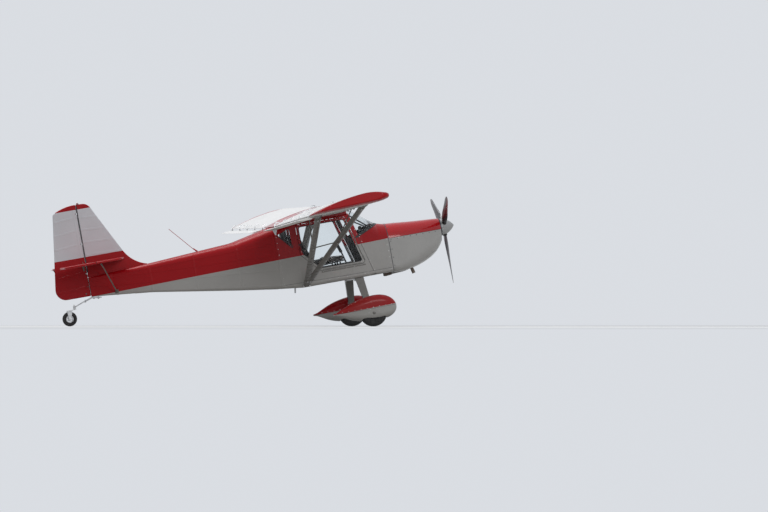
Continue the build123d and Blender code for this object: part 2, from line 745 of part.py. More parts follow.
# Stabilizer and elevator
STABILIZER_PLANE = Plane.XY.offset(STABILIZER_Z - TAIL_THICKNESS / 2)
tip_front = ELEVATOR_HINGE_X + 240
with BuildPart() as stabilizer:
    with BuildSketch(STABILIZER_PLANE):
        with BuildLine():
            Line((ELEVATOR_HINGE_X + 21, 0), (ELEVATOR_HINGE_X + 21, -STABILIZER_HALF_SPAN))
            Line((ELEVATOR_HINGE_X + 21, -STABILIZER_HALF_SPAN), (tip_front, -STABILIZER_HALF_SPAN))
            TangentArc(
                (tip_front, -STABILIZER_HALF_SPAN),
                (tip_front + 160, -STABILIZER_HALF_SPAN + 130),
                tangent=(1, 0),
            )
            Line((tip_front + 160, -STABILIZER_HALF_SPAN + 130), (tip_front + 290, 0))
            Line((tip_front + 290, 0), (ELEVATOR_HINGE_X + 21, 0))
        make_face()
    extrude(amount=TAIL_THICKNESS)
    round_rims(Axis.Z, TAIL_EDGE, lambda c: c.X < ELEVATOR_HINGE_X + 22 or c.Y > -1)
    for hinge_y in ELEVATOR_HINGE_YS:
        hinge_eye((ELEVATOR_HINGE_X, hinge_y, STABILIZER_Z), (0, 1, 0))
    mirror(about=Plane.XZ)
    add(fin.part, mode=Mode.SUBTRACT)

tip_rear = ELEVATOR_HINGE_X - 280
with BuildPart() as elevator:
    with BuildSketch(STABILIZER_PLANE):
        with BuildLine():
            Line((ELEVATOR_HINGE_X, -60), (ELEVATOR_HINGE_X, -STABILIZER_HALF_SPAN))
            Line((ELEVATOR_HINGE_X, -STABILIZER_HALF_SPAN), (tip_rear, -STABILIZER_HALF_SPAN + 10))
            TangentArc(
                (tip_rear, -STABILIZER_HALF_SPAN + 10),
                (tip_rear - 155, -STABILIZER_HALF_SPAN + 160),
                tangent=(-1, 0.05),
            )
            Line((tip_rear - 155, -STABILIZER_HALF_SPAN + 160), (tip_rear - 155, -290))
            Line((tip_rear - 155, -290), (ELEVATOR_HINGE_X, -60))
        make_face()
    extrude(amount=TAIL_THICKNESS)
    round_rims(Axis.Z, TAIL_EDGE, lambda c: c.X > ELEVATOR_HINGE_X - 1)
    mirror(about=Plane.XZ)
    rod_between(
        (ELEVATOR_HINGE_X, -STABILIZER_HALF_SPAN, STABILIZER_Z),
        (ELEVATOR_HINGE_X, STABILIZER_HALF_SPAN, STABILIZER_Z),
        TAIL_THICKNESS / 2,
    )
    for side in (-1, 1):
        for hinge_y in ELEVATOR_HINGE_YS:
            hinge_pin((ELEVATOR_HINGE_X, side * hinge_y, STABILIZER_Z), (0, 1, 0))

with BuildPart() as tail_struts:
    rod_between((STERN_X + 364, -92, 1120), (STERN_X + 139, -800, STABILIZER_Z), 9)
    mirror(about=Plane.XZ)
    add(stabilizer.part, mode=Mode.SUBTRACT)
    add(rear_fuselage.part, mode=Mode.SUBTRACT)

# Main gear: one tapered spring from wheel to wheel, with stub axles
FAIRING_HALF_WIDTH = MAIN_TYRE_WIDTH / 2 + 33.5
RIM_HOLES = 6
GEAR_X = -30
GEAR_THICKNESS = 20
LEG_KNEE_Y = 520
LEG_END_Y = HALF_TRACK - MAIN_TYRE_WIDTH / 2 - 52.5
with BuildPart() as main_gear_leg:
    with BuildSketch(Plane.YZ.offset(GEAR_X - 60)):
        with BuildLine():
            Polyline(
                (0, BELLY_Z),
                (LEG_KNEE_Y, BELLY_Z),
                (LEG_END_Y, MAIN_WHEEL_RADIUS + 30),
                (LEG_END_Y, MAIN_WHEEL_RADIUS - 30),
                (LEG_END_Y - 26, MAIN_WHEEL_RADIUS - 30),
                (LEG_END_Y - 26, MAIN_WHEEL_RADIUS + 22),
                (LEG_KNEE_Y - 9, BELLY_Z - GEAR_THICKNESS),
                (0, BELLY_Z - GEAR_THICKNESS),
                (0, BELLY_Z),
            )
        make_face()
    extrude(amount=120)
    with BuildSketch(Plane.XZ.offset(-1200)):
        Polygon((GEAR_X - 60, 720), (GEAR_X + 60, 720), (38, 160), (-38, 160), align=None)
    extrude(amount=2400, mode=Mode.INTERSECT)
    mirror(about=Plane.XZ)
    for side in (-1, 1):
        rod_between(
            (0, side * (LEG_END_Y - 10), MAIN_WHEEL_RADIUS),
            (0, side * (HALF_TRACK + FAIRING_HALF_WIDTH - 8), MAIN_WHEEL_RADIUS),
            AXLE_RADIUS,
        )


# Wheels: a tyre and a rim that turns on the axle
def wheel_blank(radius, centre_y, half_width, mode=Mode.ADD):
    with BuildSketch(Plane.XZ.offset(-centre_y - half_width)) as disc:
        with Locations((0, MAIN_WHEEL_RADIUS)):
            Circle(radius)
    extrude(disc.sketch, amount=2 * half_width, mode=mode)


def rim_body(centre, radius, half_width):
    """Adds a dished rim with a hub, a web and a ring of round holes, its axle along y."""
    hub = 0.42 * radius
    barrel = 0.86 * radius
    web = 0.16 * half_width
    with BuildSketch(Plane(origin=centre, x_dir=(0, 1, 0), z_dir=(1, 0, 0))) as section:
        with BuildLine() as outline:
            Polyline(
                (-half_width, 0),
                (-half_width, hub),
                (-web, hub * 1.15),
                (-web, barrel * 0.94),
                (-half_width, barrel),
                (-half_width, radius),
                (half_width, radius),
                (half_width, barrel),
                (web, barrel * 0.94),
                (web, hub * 1.15),
                (half_width, hub),
                (half_width, 0),
                (-half_width, 0),
            )
        make_face(outline.edges())
    revolve(section.sketch, axis=Axis(centre, (0, 1, 0)))
    across = Plane(origin=centre, x_dir=(1, 0, 0), z_dir=(0, 1, 0))
    with BuildSketch(across.offset(-half_width)) as holes:
        with PolarLocations((hub + barrel) / 2, RIM_HOLES):
            Circle(0.26 * (barrel - hub))
    extrude(holes.sketch, amount=2 * half_width, mode=Mode.SUBTRACT)


with BuildPart() as tyre_right:
    wheel_blank(MAIN_WHEEL_RADIUS, -HALF_TRACK, MAIN_TYRE_WIDTH / 2)
    fillet(edges().filter_by(GeomType.CIRCLE), 48)
    wheel_blank(MAIN_RIM_RADIUS, -HALF_TRACK, MAIN_TYRE_WIDTH / 2, Mode.SUBTRACT)

with BuildPart() as rim_right:
    rim_body((0, -HALF_TRACK, MAIN_WHEEL_RADIUS), MAIN_RIM_RADIUS, MAIN_TYRE_WIDTH / 2 - 20)
    wheel_blank(AXLE_RADIUS + RUNNING_CLEARANCE, -HALF_TRACK, MAIN_TYRE_WIDTH / 2, Mode.SUBTRACT)

# Wheel fairings. Columns: x, share of the half width, then bottom and top from the axle's height
FAIRING_NOSE_X = MAIN_WHEEL_RADIUS + 152
FAIRING_TAIL_X = -MAIN_WHEEL_RADIUS - 372
FAIRING_SECTIONS = [
    (FAIRING_NOSE_X, 0.13, 31, 67),
    (FAIRING_NOSE_X - 27, 0.53, -30, 135),
    (200, 0.945, -100, MAIN_WHEEL_RADIUS + 28),
    (30, 1.0, -113, MAIN_WHEEL_RADIUS + 53),
    (-200, 0.885, -87, MAIN_WHEEL_RADIUS + 18),
    (-420, 0.415, -5, 131),
    (FAIRING_TAIL_X, 0.076, 55, 77),
]
FAIRING_WALL = 5


def fairing_solid(wall):
    with BuildPart() as solid:
        for x, width_share, bottom, top in FAIRING_SECTIONS:
            half_width = width_share * FAIRING_HALF_WIDTH
            trim = min(wall, half_width * 0.6)
            with BuildSketch(station_plane(x - math.copysign(wall, x) * 0.5)):
                with Locations((-HALF_TRACK, MAIN_WHEEL_RADIUS + (bottom + top) / 2)):
                    RectangleRounded(
                        2 * (half_width - trim),
                        top - bottom - 2 * trim,
                        0.94 * min(half_width - trim, (top - bottom) / 2 - trim),
                    )
        loft()
    return solid.part


fairing_outer = fairing_solid(0)
fairing_inner = fairing_solid(FAIRING_WALL)
with BuildPart() as wheel_fairing_right:
    add(fairing_outer)
    add(fairing_inner, mode=Mode.SUBTRACT)
    with BuildSketch(Plane.XY.offset(40)):
        with Locations((0, -HALF_TRACK)):
            Rectangle(2 * MAIN_WHEEL_RADIUS + 30, MAIN_TYRE_WIDTH + 30)
    extrude(amount=100, mode=Mode.SUBTRACT)
    wheel_blank(MAIN_WHEEL_RADIUS + MOVING_GAP, -HALF_TRACK, MAIN_TYRE_WIDTH / 2 + MOVING_GAP, Mode.SUBTRACT)
    rod_hole = AXLE_RADIUS + SEAT_GAP
    with BuildSketch(Plane.XZ.offset(LEG_END_Y)):
        with Locations((0, MAIN_WHEEL_RADIUS)):
            Circle(rod_hole)
    extrude(amount=100, mode=Mode.SUBTRACT)

with BuildPart() as wheel_fairings:
    add(wheel_fairing_right.part)
    mirror(about=Plane.XZ)

# Tail spring with the swivel eye at its end
FORK_PLATE_Z = TAILWHEEL_Z + TAILWHEEL_RADIUS + 10
SWIVEL_X = TAILWHEEL_X + 95
SWIVEL_LOW_Z = FORK_PLATE_Z + 18
SWIVEL_HIGH_Z = SWIVEL_LOW_Z + 36
SWIVEL_PIN_RADIUS = 8
with BuildPart() as tail_spring:
    with BuildSketch(Plane.XZ.offset(-20)):
        Polygon(
            (STERN_X + 139, 1090), (STERN_X + 3, 1112), (STERN_X - 131, 1066), (SWIVEL_X, SWIVEL_LOW_Z + 28),
            (SWIVEL_X, SWIVEL_LOW_Z + 12), (STERN_X - 127, 1050), (STERN_X - 1, 1092), (STERN_X + 139, 1072),
            align=None,
        )
    extrude(amount=40)
    add(rear_fuselage.part, mode=Mode.SUBTRACT)
    rod_between((SWIVEL_X, 0, SWIVEL_LOW_Z), (SWIVEL_X, 0, SWIVEL_HIGH_Z), 20)
    rod_between(
        (SWIVEL_X, 0, SWIVEL_LOW_Z), (SWIVEL_X, 0, SWIVEL_HIGH_Z), SWIVEL_PIN_RADIUS + SEAT_GAP, Mode.SUBTRACT
    )

# Tailwheel fork, its swivel pin and its axle
FORK_INSIDE = TAILWHEEL_WIDTH / 2 + 7
FORK_ARM = 6
with BuildPart() as tailwheel_fork:
    box_from(
        (TAILWHEEL_X - 22, -FORK_INSIDE - FORK_ARM, FORK_PLATE_Z),
        (SWIVEL_X + 20, FORK_INSIDE + FORK_ARM, FORK_PLATE_Z + 9),
    )
    rod_between((SWIVEL_X, 0, FORK_PLATE_Z), (SWIVEL_X, 0, SWIVEL_LOW_Z - SEAT_GAP), 16)
    rod_between((SWIVEL_X, 0, FORK_PLATE_Z), (SWIVEL_X, 0, SWIVEL_HIGH_Z + 10), SWIVEL_PIN_RADIUS)
    rod_between((SWIVEL_X, 0, SWIVEL_HIGH_Z + SEAT_GAP), (SWIVEL_X, 0, SWIVEL_HIGH_Z + 10), 15)
    for side in (-1, 1):
        with BuildSketch(Plane.XZ.offset(-side * (FORK_INSIDE + FORK_ARM / 2) - FORK_ARM / 2)) as arm:
            Polygon(
                (TAILWHEEL_X - 22, FORK_PLATE_Z + 9), (TAILWHEEL_X - 14, TAILWHEEL_Z - 12),
                (TAILWHEEL_X + 14, TAILWHEEL_Z - 12), (TAILWHEEL_X + 60, FORK_PLATE_Z + 9), align=None
            )
        extrude(arm.sketch, amount=FORK_ARM)
    rod_between(
        (TAILWHEEL_X, -FORK_INSIDE - FORK_ARM - 6, TAILWHEEL_Z),
        (TAILWHEEL_X, FORK_INSIDE + FORK_ARM + 6, TAILWHEEL_Z),
        TAILWHEEL_AXLE_RADIUS,
    )


def tailwheel_disc(radius, half_width, mode=Mode.ADD):
    rod_between((TAILWHEEL_X, -half_width, TAILWHEEL_Z), (TAILWHEEL_X, half_width, TAILWHEEL_Z), radius, mode)


with BuildPart() as tailwheel_tyre:
    tailwheel_disc(TAILWHEEL_RADIUS, TAILWHEEL_WIDTH / 2)
    fillet(edges().filter_by(GeomType.CIRCLE), 22)
    tailwheel_disc(TAILWHEEL_RIM_RADIUS, TAILWHEEL_WIDTH, Mode.SUBTRACT)

with BuildPart() as tailwheel_rim:
    rim_body((TAILWHEEL_X, 0, TAILWHEEL_Z), TAILWHEEL_RIM_RADIUS, TAILWHEEL_WIDTH / 2 - 4)
    tailwheel_disc(TAILWHEEL_AXLE_RADIUS + RUNNING_CLEARANCE, TAILWHEEL_WIDTH, Mode.SUBTRACT)

# Roof: the wing section carried across the cabin, open below, with a clear panel in its top
ROOF_WALL = 12
ROOF_REAR_Y = ROOT_Y - 48
ROOF_PLAN = [
    (60, -ROOT_Y), (-850, -ROOT_Y), (CABIN_REAR_X, -ROOF_REAR_Y),
    (CABIN_REAR_X, ROOF_REAR_Y), (-850, ROOT_Y), (60, ROOT_Y),
]
SKYLIGHT_PLAN = [(-190, -380), (-640, -380), (-640, 380), (-190, 380)]


def roof_block(inset):
    """Solid of the roof's outline between the wing roots, drawn in by inset."""
    with BuildPart() as block:
        with BuildSketch(wing_plane(-ROOT_Y + inset)) as section:
            airfoil_outline(WING_CHORD)
            if inset:
                offset(amount=-inset, mode=Mode.REPLACE)
        extrude(section.sketch, amount=2 * (ROOT_Y - inset))
        bottom = CABIN_TOP_Z - inset
        with BuildSketch(Plane.XZ.offset(-ROOT_Y + inset)) as skirt:
            Polygon(
                (pillar_line_x(bottom, PILLAR_WIDTH) - inset, bottom),
                (pillar_line_x(SCREEN_TOP_Z, PILLAR_WIDTH) - inset, SCREEN_TOP_Z + inset),
                (-250, 1740),
                (-1060, 1670),
                (CABIN_REAR_X + 0.7 * inset, 1652),
                (CABIN_REAR_X + 0.7 * inset, bottom),
                align=None,
            )
        extrude(skirt.sketch, amount=2 * (ROOT_Y - inset))
        with BuildSketch(Plane.XY.offset(bottom)) as plan:
            Polygon(*ROOF_PLAN, align=None)
            if inset:
                offset(amount=-inset, mode=Mode.REPLACE)
        extrude(plan.sketch, amount=400, mode=Mode.INTERSECT)
    return block.part


roof_outer = roof_block(0)
with BuildPart() as roof:
    add(roof_outer)
    add(roof_block(ROOF_WALL), mode=Mode.SUBTRACT)
    with BuildSketch(Plane.XY.offset(1700)):
        Polygon(*SKYLIGHT_PLAN, align=None)
        fillet(vertices(), 40)
    extrude(amount=200, mode=Mode.SUBTRACT)
    box_from((-60, -ROOT_Y - 40, 1600), (300, ROOT_Y + 40, SCREEN_TOP_Z), Mode.SUBTRACT)

# Fixed panes: the roof panel and the quarter windows in the side walls
with BuildPart() as skylight:
    add(roof_outer)
    add(roof_block(GLASS), mode=Mode.SUBTRACT)
    with BuildSketch(Plane.XY.offset(1700)):
        Polygon(*SKYLIGHT_PLAN, align=None)
        fillet(vertices(), 40)
    extrude(amount=200, mode=Mode.INTERSECT)

with BuildPart() as fixed_windows:
    add(cabin_hull)
    add(cabin_glass_core, mode=Mode.SUBTRACT)
    add(quarter_opening, mode=Mode.INTERSECT)
    mirror(about=Plane.XZ)
    add(skylight.part)

# Cabin frame: the spar tubes across the roof and the braces from the dash
with BuildPart() as cabin_frame:
    spar_end = CABIN_HALF_WIDTH - 35
    rod_between((FRONT_SPAR_X, -spar_end, 1690), (FRONT_SPAR_X, spar_end, 1690), 18)
    rod_between((REAR_SPAR_X, -spar_end, 1672), (REAR_SPAR_X, spar_end, 1672), 16)
    for side in (-1, 1):
        rod_between((330, side * 90, 1385), (FRONT_SPAR_X, side * 470, 1690), 11)
        rod_between((FRONT_SPAR_X, side * 430, 1690), (REAR_SPAR_X, side * 430, 1672), 10)
        rod_between((REAR_SPAR_X, side * 430, 1672), (CABIN_REAR_X, side * 330, 1560), 10)
    rod_between((330, -260, 1385), (330, 260, 1385), 11)
    for side in (-1, 1):
        rod_between((330, side * 240, 1385), (FIREWALL_X + 0.3, side * 235, 1250), 9)
    for neighbour in (firewall, rear_fuselage, roof):
        add(neighbour.part, mode=Mode.SUBTRACT)

# Seats: a cushion and a back in one, on floor rails
SEAT_Y = 262
SEAT_WIDTH = 420
FLOOR_Z = BELLY_Z + CABIN_WALL


with BuildPart() as seats:
    for seat_y in (-SEAT_Y, SEAT_Y):
        with BuildSketch(Plane.XZ.offset(-seat_y - SEAT_WIDTH / 2)) as seat_side:
            Polygon(
                (-170, 1015), (-600, 985), (-700, 1010), (-860, 1490), (-800, 1515),
                (-622, 1080), (-585, 1062), (-195, 1085), (-165, 1060), align=None
            )
            fillet(seat_side.vertices(), 12)
        extrude(amount=SEAT_WIDTH)
        for y in (seat_y - 150, seat_y + 150):
            box_from((-640, y - 10, FLOOR_Z), (-210, y + 10, FLOOR_Z + 22))
            for x in (-610, -250):
                box_from((x - 12, y - 10, FLOOR_Z), (x + 12, y + 10, 1020))

# Instrument panel with its glare shield and the console under it
PANEL_X = 190
with BuildPart() as instrument_panel:
    box_from((PANEL_X, -CABIN_HALF_WIDTH, 1170), (PANEL_X + 14, CABIN_HALF_WIDTH, 1392))
    box_from((PANEL_X - 34, -CABIN_HALF_WIDTH, 1380), (PANEL_X + 14, CABIN_HALF_WIDTH, 1392))
    box_from((-700, -38, FLOOR_Z), (180, 38, 840))
    box_from((150, -38, 820), (PANEL_X + 2, 38, 1180))
    add(cabin_space, mode=Mode.INTERSECT)

# Flight controls: the stick between the seats and two pairs of pedals on cross tubes
with BuildPart() as flight_controls:
    rod_between((-150, 0, 835), (-105, 0, 960), 11)
    rod_between((-105, 0, 955), (-150, 0, 1120), 11)
    rod_between((-150, 0, 1115), (-190, 0, 1230), 19)
    with Locations((-150, 0, 845)):
        Sphere(26)
    box_from((-200, -60, 810), (-80, 60, 840), Mode.SUBTRACT)
    for x, ys in ((330, (-330, 130)), (360, (-130, 330))):
        rod_between((x, -380, 760), (x, 380, 760), 11)
        for y in ys:
            rod_between((x, y, 760), (x - 20, y, 900), 8)
            box_from((x - 28, y - 50, 890), (x - 16, y + 50, 960))
    for y in (-370, 0, 370):
        box_from((310, y - 10, FLOOR_Z), (380, y + 10, 760))

# Small outside parts
ANTENNA_X = -2218
with BuildPart() as exhaust:
    rod_between((800, -95, 760), (832, -95, 637), 24)
    rod_between((800, -95, 762), (832.5, -95, 636), 21, Mode.SUBTRACT)
    add(cowl_hull, mode=Mode.SUBTRACT)
    add(lower_cowl.part, mode=Mode.SUBTRACT)
    with BuildSketch(Plane.XZ) as outlet_side:
        Polygon((410, BELLY_Z), (410, 667), (424, 660), (512, 668), (512, BELLY_Z), align=None)
    extrude(outlet_side.sketch, amount=70, both=True)
    with BuildSketch(Plane.XZ) as outlet_throat:
        Polygon((405, BELLY_Z - 5), (405, 672), (420, 666), (500, 674), (500, BELLY_Z - 5), align=None)
    extrude(outlet_throat.sketch, amount=64, both=True, mode=Mode.SUBTRACT)
    add(lower_cowl.part, mode=Mode.SUBTRACT)

with BuildPart() as antenna:
    antenna_z = rear_top_z(ANTENNA_X)
    rod_between((ANTENNA_X, 0, antenna_z - 4), (ANTENNA_X - 346, 0, antenna_z + 392), 4)
    rod_between((ANTENNA_X, 0, antenna_z - 20), (ANTENNA_X, 0, antenna_z + 14), 16)
    add(rear_fuselage.part, mode=Mode.SUBTRACT)

with BuildPart() as belly_drain:
    rod_between((-900, 0, BELLY_Z + 30), (-915, 0, 648), 12)
    add(cabin_hull, mode=Mode.SUBTRACT)

# Hand the pieces on, turned nose up until the tailwheel is down
pieces = {
    "cabin_shell": cabin_shell,
    "boot_cowl": boot_cowl,
    "windscreen": windscreen,
    "fixed_windows": fixed_windows,
    "roof": roof,
    "cabin_frame": cabin_frame,
    "instrument_panel": instrument_panel,
    "flight_controls": flight_controls,
    "seats": seats,
    "door_right": door_right,
    "door_left": mirrored(door_right),
    "door_glass_right": door_glass_right,
    "door_glass_left": mirrored(door_glass_right),
    "firewall": firewall,
    "rear_fuselage": rear_fuselage,
    "upper_cowl": upper_cowl,
    "lower_cowl": lower_cowl,
    "engine": engine,
    "exhaust": exhaust,
    "propeller": propeller,
    "spinner": spinner,
    "wing_right": wing_right,
    "wing_left": mirrored(wing_right),
    "wing_tips": wing_tips,
    "flaperon_right": flaperon_right,
    "flaperon_left": mirrored(flaperon_right),
    "flaperon_arms": flaperon_arms,
    "lift_struts": lift_struts,
    "fin": fin,
    "rudder": rudder,
    "stabilizer": stabilizer,
    "elevator": elevator,
    "tail_struts": tail_struts,
    "antenna": antenna,
    "belly_drain": belly_drain,
    "main_gear_leg": main_gear_leg,
    "tyre_right": tyre_right,
    "tyre_left": mirrored(tyre_right),
    "rim_right": rim_right,
    "rim_left": mirrored(rim_right),
    "wheel_fairings": wheel_fairings,
    "tail_spring": tail_spring,
    "tailwheel_fork": tailwheel_fork,
    "tailwheel_tyre": tailwheel_tyre,
    "tailwheel_rim": tailwheel_rim,
}

tail_arm = math.hypot(TAILWHEEL_X, TAILWHEEL_Z - MAIN_WHEEL_RADIUS)
level_slope = math.atan2(TAILWHEEL_Z - MAIN_WHEEL_RADIUS, -TAILWHEEL_X)
PARKED_ANGLE = level_slope + math.asin((MAIN_WHEEL_RADIUS - TAILWHEEL_RADIUS) / tail_arm)
turn = Rot(0, -math.degrees(PARKED_ANGLE), 0)
about_axle = Pos(0, 0, MAIN_WHEEL_RADIUS) * turn * Pos(0, 0, -MAIN_WHEEL_RADIUS)
boxes = [(about_axle * piece.part).bounding_box() for piece in pieces.values()]
CENTRE_X = (min(b.min.X for b in boxes) + max(b.max.X for b in boxes)) / 2
PARKED = Pos(-CENTRE_X, 0, 0) * about_axle

os.makedirs("parts", exist_ok=True)
for name, piece in pieces.items():
    parked_piece = PARKED * piece.part
    parked_piece.label = name
    export_step(parked_piece, f"parts/{name}.step")
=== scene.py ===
import bmesh
import bpy
import json
import math
from mathutils import Matrix, Vector
from mathutils.bvhtree import BVHTree


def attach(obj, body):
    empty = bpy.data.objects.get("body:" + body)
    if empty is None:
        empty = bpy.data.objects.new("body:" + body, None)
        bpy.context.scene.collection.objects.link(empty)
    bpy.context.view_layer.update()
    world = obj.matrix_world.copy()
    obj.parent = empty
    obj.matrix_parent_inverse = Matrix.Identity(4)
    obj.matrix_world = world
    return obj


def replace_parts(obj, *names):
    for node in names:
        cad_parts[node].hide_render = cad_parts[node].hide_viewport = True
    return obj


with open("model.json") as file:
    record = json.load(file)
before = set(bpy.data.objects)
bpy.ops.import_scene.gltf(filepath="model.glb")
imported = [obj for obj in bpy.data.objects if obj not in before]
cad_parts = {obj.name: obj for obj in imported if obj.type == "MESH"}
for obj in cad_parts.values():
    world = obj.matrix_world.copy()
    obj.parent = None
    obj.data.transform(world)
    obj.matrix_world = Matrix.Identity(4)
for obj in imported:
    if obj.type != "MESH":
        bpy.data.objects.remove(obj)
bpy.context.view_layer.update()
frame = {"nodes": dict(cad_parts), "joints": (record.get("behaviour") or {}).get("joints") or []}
nodes = frame["nodes"]
scene = bpy.context.scene

# Level frame: x forward from the main axle, y to the left, z up from the ground with the tail raised.
# Its x axis is the propeller's, and its origin lies under the main axle.
joints = {joint["name"]: joint for joint in frame["joints"]}
COS, SIN = joints["propeller_spin"]["axis"][0], joints["propeller_spin"]["axis"][2]
AXLE = joints["wheel_right_spin"]["pos_m"]
AXLE_Z = AXLE[2]
LEVEL = Matrix((
    (COS, 0, -SIN, AXLE[0] + SIN * AXLE_Z),
    (0, 1, 0, 0),
    (SIN, 0, COS, AXLE_Z - COS * AXLE_Z),
    (0, 0, 0, 1),
))
TO_LEVEL = LEVEL.inverted()


# Materials
class Shader:
    """A material's node tree, with short names for the nodes that the finishes share."""

    def __init__(self, name):
        self.material = bpy.data.materials.new(name)
        self.material.use_nodes = True
        self.tree = self.material.node_tree
        self.bsdf = self.tree.nodes["Principled BSDF"]
        self.coords = self.add("ShaderNodeTexCoord")

    def add(self, kind, **settings):
        node = self.tree.nodes.new(kind)
        for key, value in settings.items():
            setattr(node, key, value)
        return node

    def feed(self, socket, value):
        if isinstance(value, bpy.types.NodeSocket):
            self.tree.links.new(value, socket)
        else:
            socket.default_value = value

    def set(self, **values):
        for key, value in values.items():
            self.feed(self.bsdf.inputs[key.replace("_", " ")], value)

    def math(self, operation, a, b, c=0.0):
        node = self.add("ShaderNodeMath", operation=operation)
        for socket, value in zip(node.inputs, (a, b, c)):
            self.feed(socket, value)
        return node.outputs[0]

    def mix(self, factor, a, b):
        node = self.add("ShaderNodeMix", data_type="RGBA")
        self.feed(node.inputs[0], factor)
        self.feed(node.inputs[6], a)
        self.feed(node.inputs[7], b)
        return node.outputs[2]

    def noise(self, scale, detail, roughness=0.55, stretch=(1, 1, 1)):
        mapping = self.add("ShaderNodeMapping")
        mapping.inputs["Scale"].default_value = stretch
        self.feed(mapping.inputs["Vector"], self.coords.outputs["Object"])
        node = self.add("ShaderNodeTexNoise")
        self.feed(node.inputs["Vector"], mapping.outputs[0])
        self.feed(node.inputs["Scale"], scale)
        self.feed(node.inputs["Detail"], detail)
        self.feed(node.inputs["Roughness"], roughness)
        return node.outputs[0]

    def threads(self, directions, scale, distortion=0.0, detail_scale=1.0):
        """Two crossed sets of threads."""
        waves = []
        for direction in directions:
            node = self.add("ShaderNodeTexWave", wave_type="BANDS", bands_direction=direction)
            self.feed(node.inputs["Vector"], self.coords.outputs["Object"])
            node.inputs["Scale"].default_value = scale
            node.inputs["Distortion"].default_value = distortion
            node.inputs["Detail Scale"].default_value = detail_scale
            waves.append(node.outputs[1])
        return self.math("MULTIPLY", *waves)

    def level(self):
        """Sockets x, y and z of the surface point in the level frame."""
        mapping = self.add("ShaderNodeMapping")
        mapping.inputs["Rotation"].default_value = (0, math.atan2(SIN, COS), 0)
        mapping.inputs["Location"].default_value = TO_LEVEL.translation
        self.feed(mapping.inputs["Vector"], self.coords.outputs["Object"])
        node = self.add("ShaderNodeSeparateXYZ")
        self.feed(node.inputs[0], mapping.outputs[0])
        return node.outputs

    def ramp(self, value, low, high, to_low=0.0, to_high=1.0):
        node = self.add("ShaderNodeMapRange", interpolation_type="SMOOTHSTEP")
        for socket, v in zip(node.inputs, (value, low, high, to_low, to_high)):
            self.feed(socket, v)
        return node.outputs[0]

    def bump(self, height, distance, strength=1.0, normal=None):
        node = self.add("ShaderNodeBump")
        self.feed(node.inputs["Height"], height)
        node.inputs["Distance"].default_value = distance
        node.inputs["Strength"].default_value = strength
        if normal is not None:
            self.feed(node.inputs["Normal"], normal)
        return node.outputs[0]

    def shade(self, colour, noise, low, high):
        """The colour times a factor between low and high that follows the noise."""
        factor = self.ramp(noise, 0.3, 0.7, low, high)
        node = self.add("ShaderNodeMix", data_type="RGBA", blend_type="MULTIPLY")
        node.inputs[0].default_value = 1.0
        self.feed(node.inputs[6], colour)
        grey = self.add("ShaderNodeCombineColor")
        for socket in grey.inputs:
            self.feed(socket, factor)
        self.feed(node.inputs[7], grey.outputs[0])
        return node.outputs[2]


RED = (0.37, 0.004, 0.008, 1)
WHITE = (0.72, 0.725, 0.735, 1)
SILVER = (0.41, 0.402, 0.390, 1)
DIRT = (0.16, 0.13, 0.10, 1)
# near-black painted shade, laid on the faces of the cabin's shell that look inward
INSIDE_SHADE_COLOUR = (0.055, 0.050, 0.046, 1)

# Paint lines in the level frame: height at the axle and rise per metre forward, and the fin's band
BODY_LINE = (1.189, 0.0203)
SPAT_LINE = (0.270, 0.0215)
TAIL_BAND = (1.688, 2.380)
LINE_SOFTNESS = 0.0008


def scheme_mask(s, scheme):
    """1 where the surface is red and 0 where it is pale, by the paint lines in the level frame."""
    x, _, z = s.level()
    soft = LINE_SOFTNESS
    if scheme == "tail":
        low_z, high_z = TAIL_BAND
        low = s.ramp(z, low_z - soft, low_z + soft, 1.0, 0.0)
        return s.math("MAXIMUM", low, s.ramp(z, high_z - soft, high_z + soft))
    height, rise = SPAT_LINE if scheme == "spat" else BODY_LINE
    line = s.math("MULTIPLY_ADD", x, rise, height)
    return s.ramp(s.math("SUBTRACT", z, line), -soft, soft)


def painted(
    name, scheme=None, *, coat, colour=WHITE, pale=SILVER, weave=False, gloss=(0.24, 0.36), shade_inside=False,
):
    """Paint with orange peel and a little dust; on fabric the weave shows through it.

    A shell painted with shade inside gets near-black painted shade on the faces that look in towards the
    middle of the cabin, where the cabin lies in shade.
    """
    s = Shader(name)
    base = s.mix(scheme_mask(s, scheme), pale, RED) if scheme else colour
    base = s.shade(base, s.noise(3.0, 5.0), 0.965, 1.02)
    base = s.shade(base, s.noise(160.0, 3.0), 0.97, 1.02)
    _, y, z = s.level()
    # grime gathers low down
    patches = s.ramp(s.noise(5.0, 4.0, 0.6, (0.25, 1, 1)), 0.4, 0.75)
    base = s.mix(s.math("MULTIPLY", s.ramp(z, 0.70, 0.86, 0.16, 0.0), patches), base, DIRT)
    # painted shade: the faces that look in towards the middle of the cabin are darkened to near black
    if shade_inside:
        facing = s.add("ShaderNodeSeparateXYZ")
        s.feed(facing.inputs[0], s.coords.outputs["Normal"])
        outward = s.math("MULTIPLY", y, facing.outputs["Y"])
        inside_shade = s.shade(INSIDE_SHADE_COLOUR, s.noise(40.0, 6.0), 0.8, 1.2)
        base = s.mix(s.ramp(outward, -0.06, -0.02, 1.0, 0.0), base, inside_shade)
    s.set(
        Base_Color=base,
        Roughness=s.ramp(s.noise(14.0, 6.0), 0.3, 0.75, *gloss),
        Coat_Weight=coat,
        Coat_Roughness=0.08,
        Specular_IOR_Level=0.16,
    )
    normal = s.bump(s.noise(700.0, 2.0), 0.000015)
    if weave:
        threads = s.threads(("X", "Z"), 420.0)
        normal = s.bump(threads, 0.00003, 0.3, normal)
        normal = s.bump(s.noise(5.0, 2.0, 0.4, (1.0, 0.6, 2.4)), 0.002, 0.25, normal)
    s.set(Normal=normal)
    return s.material


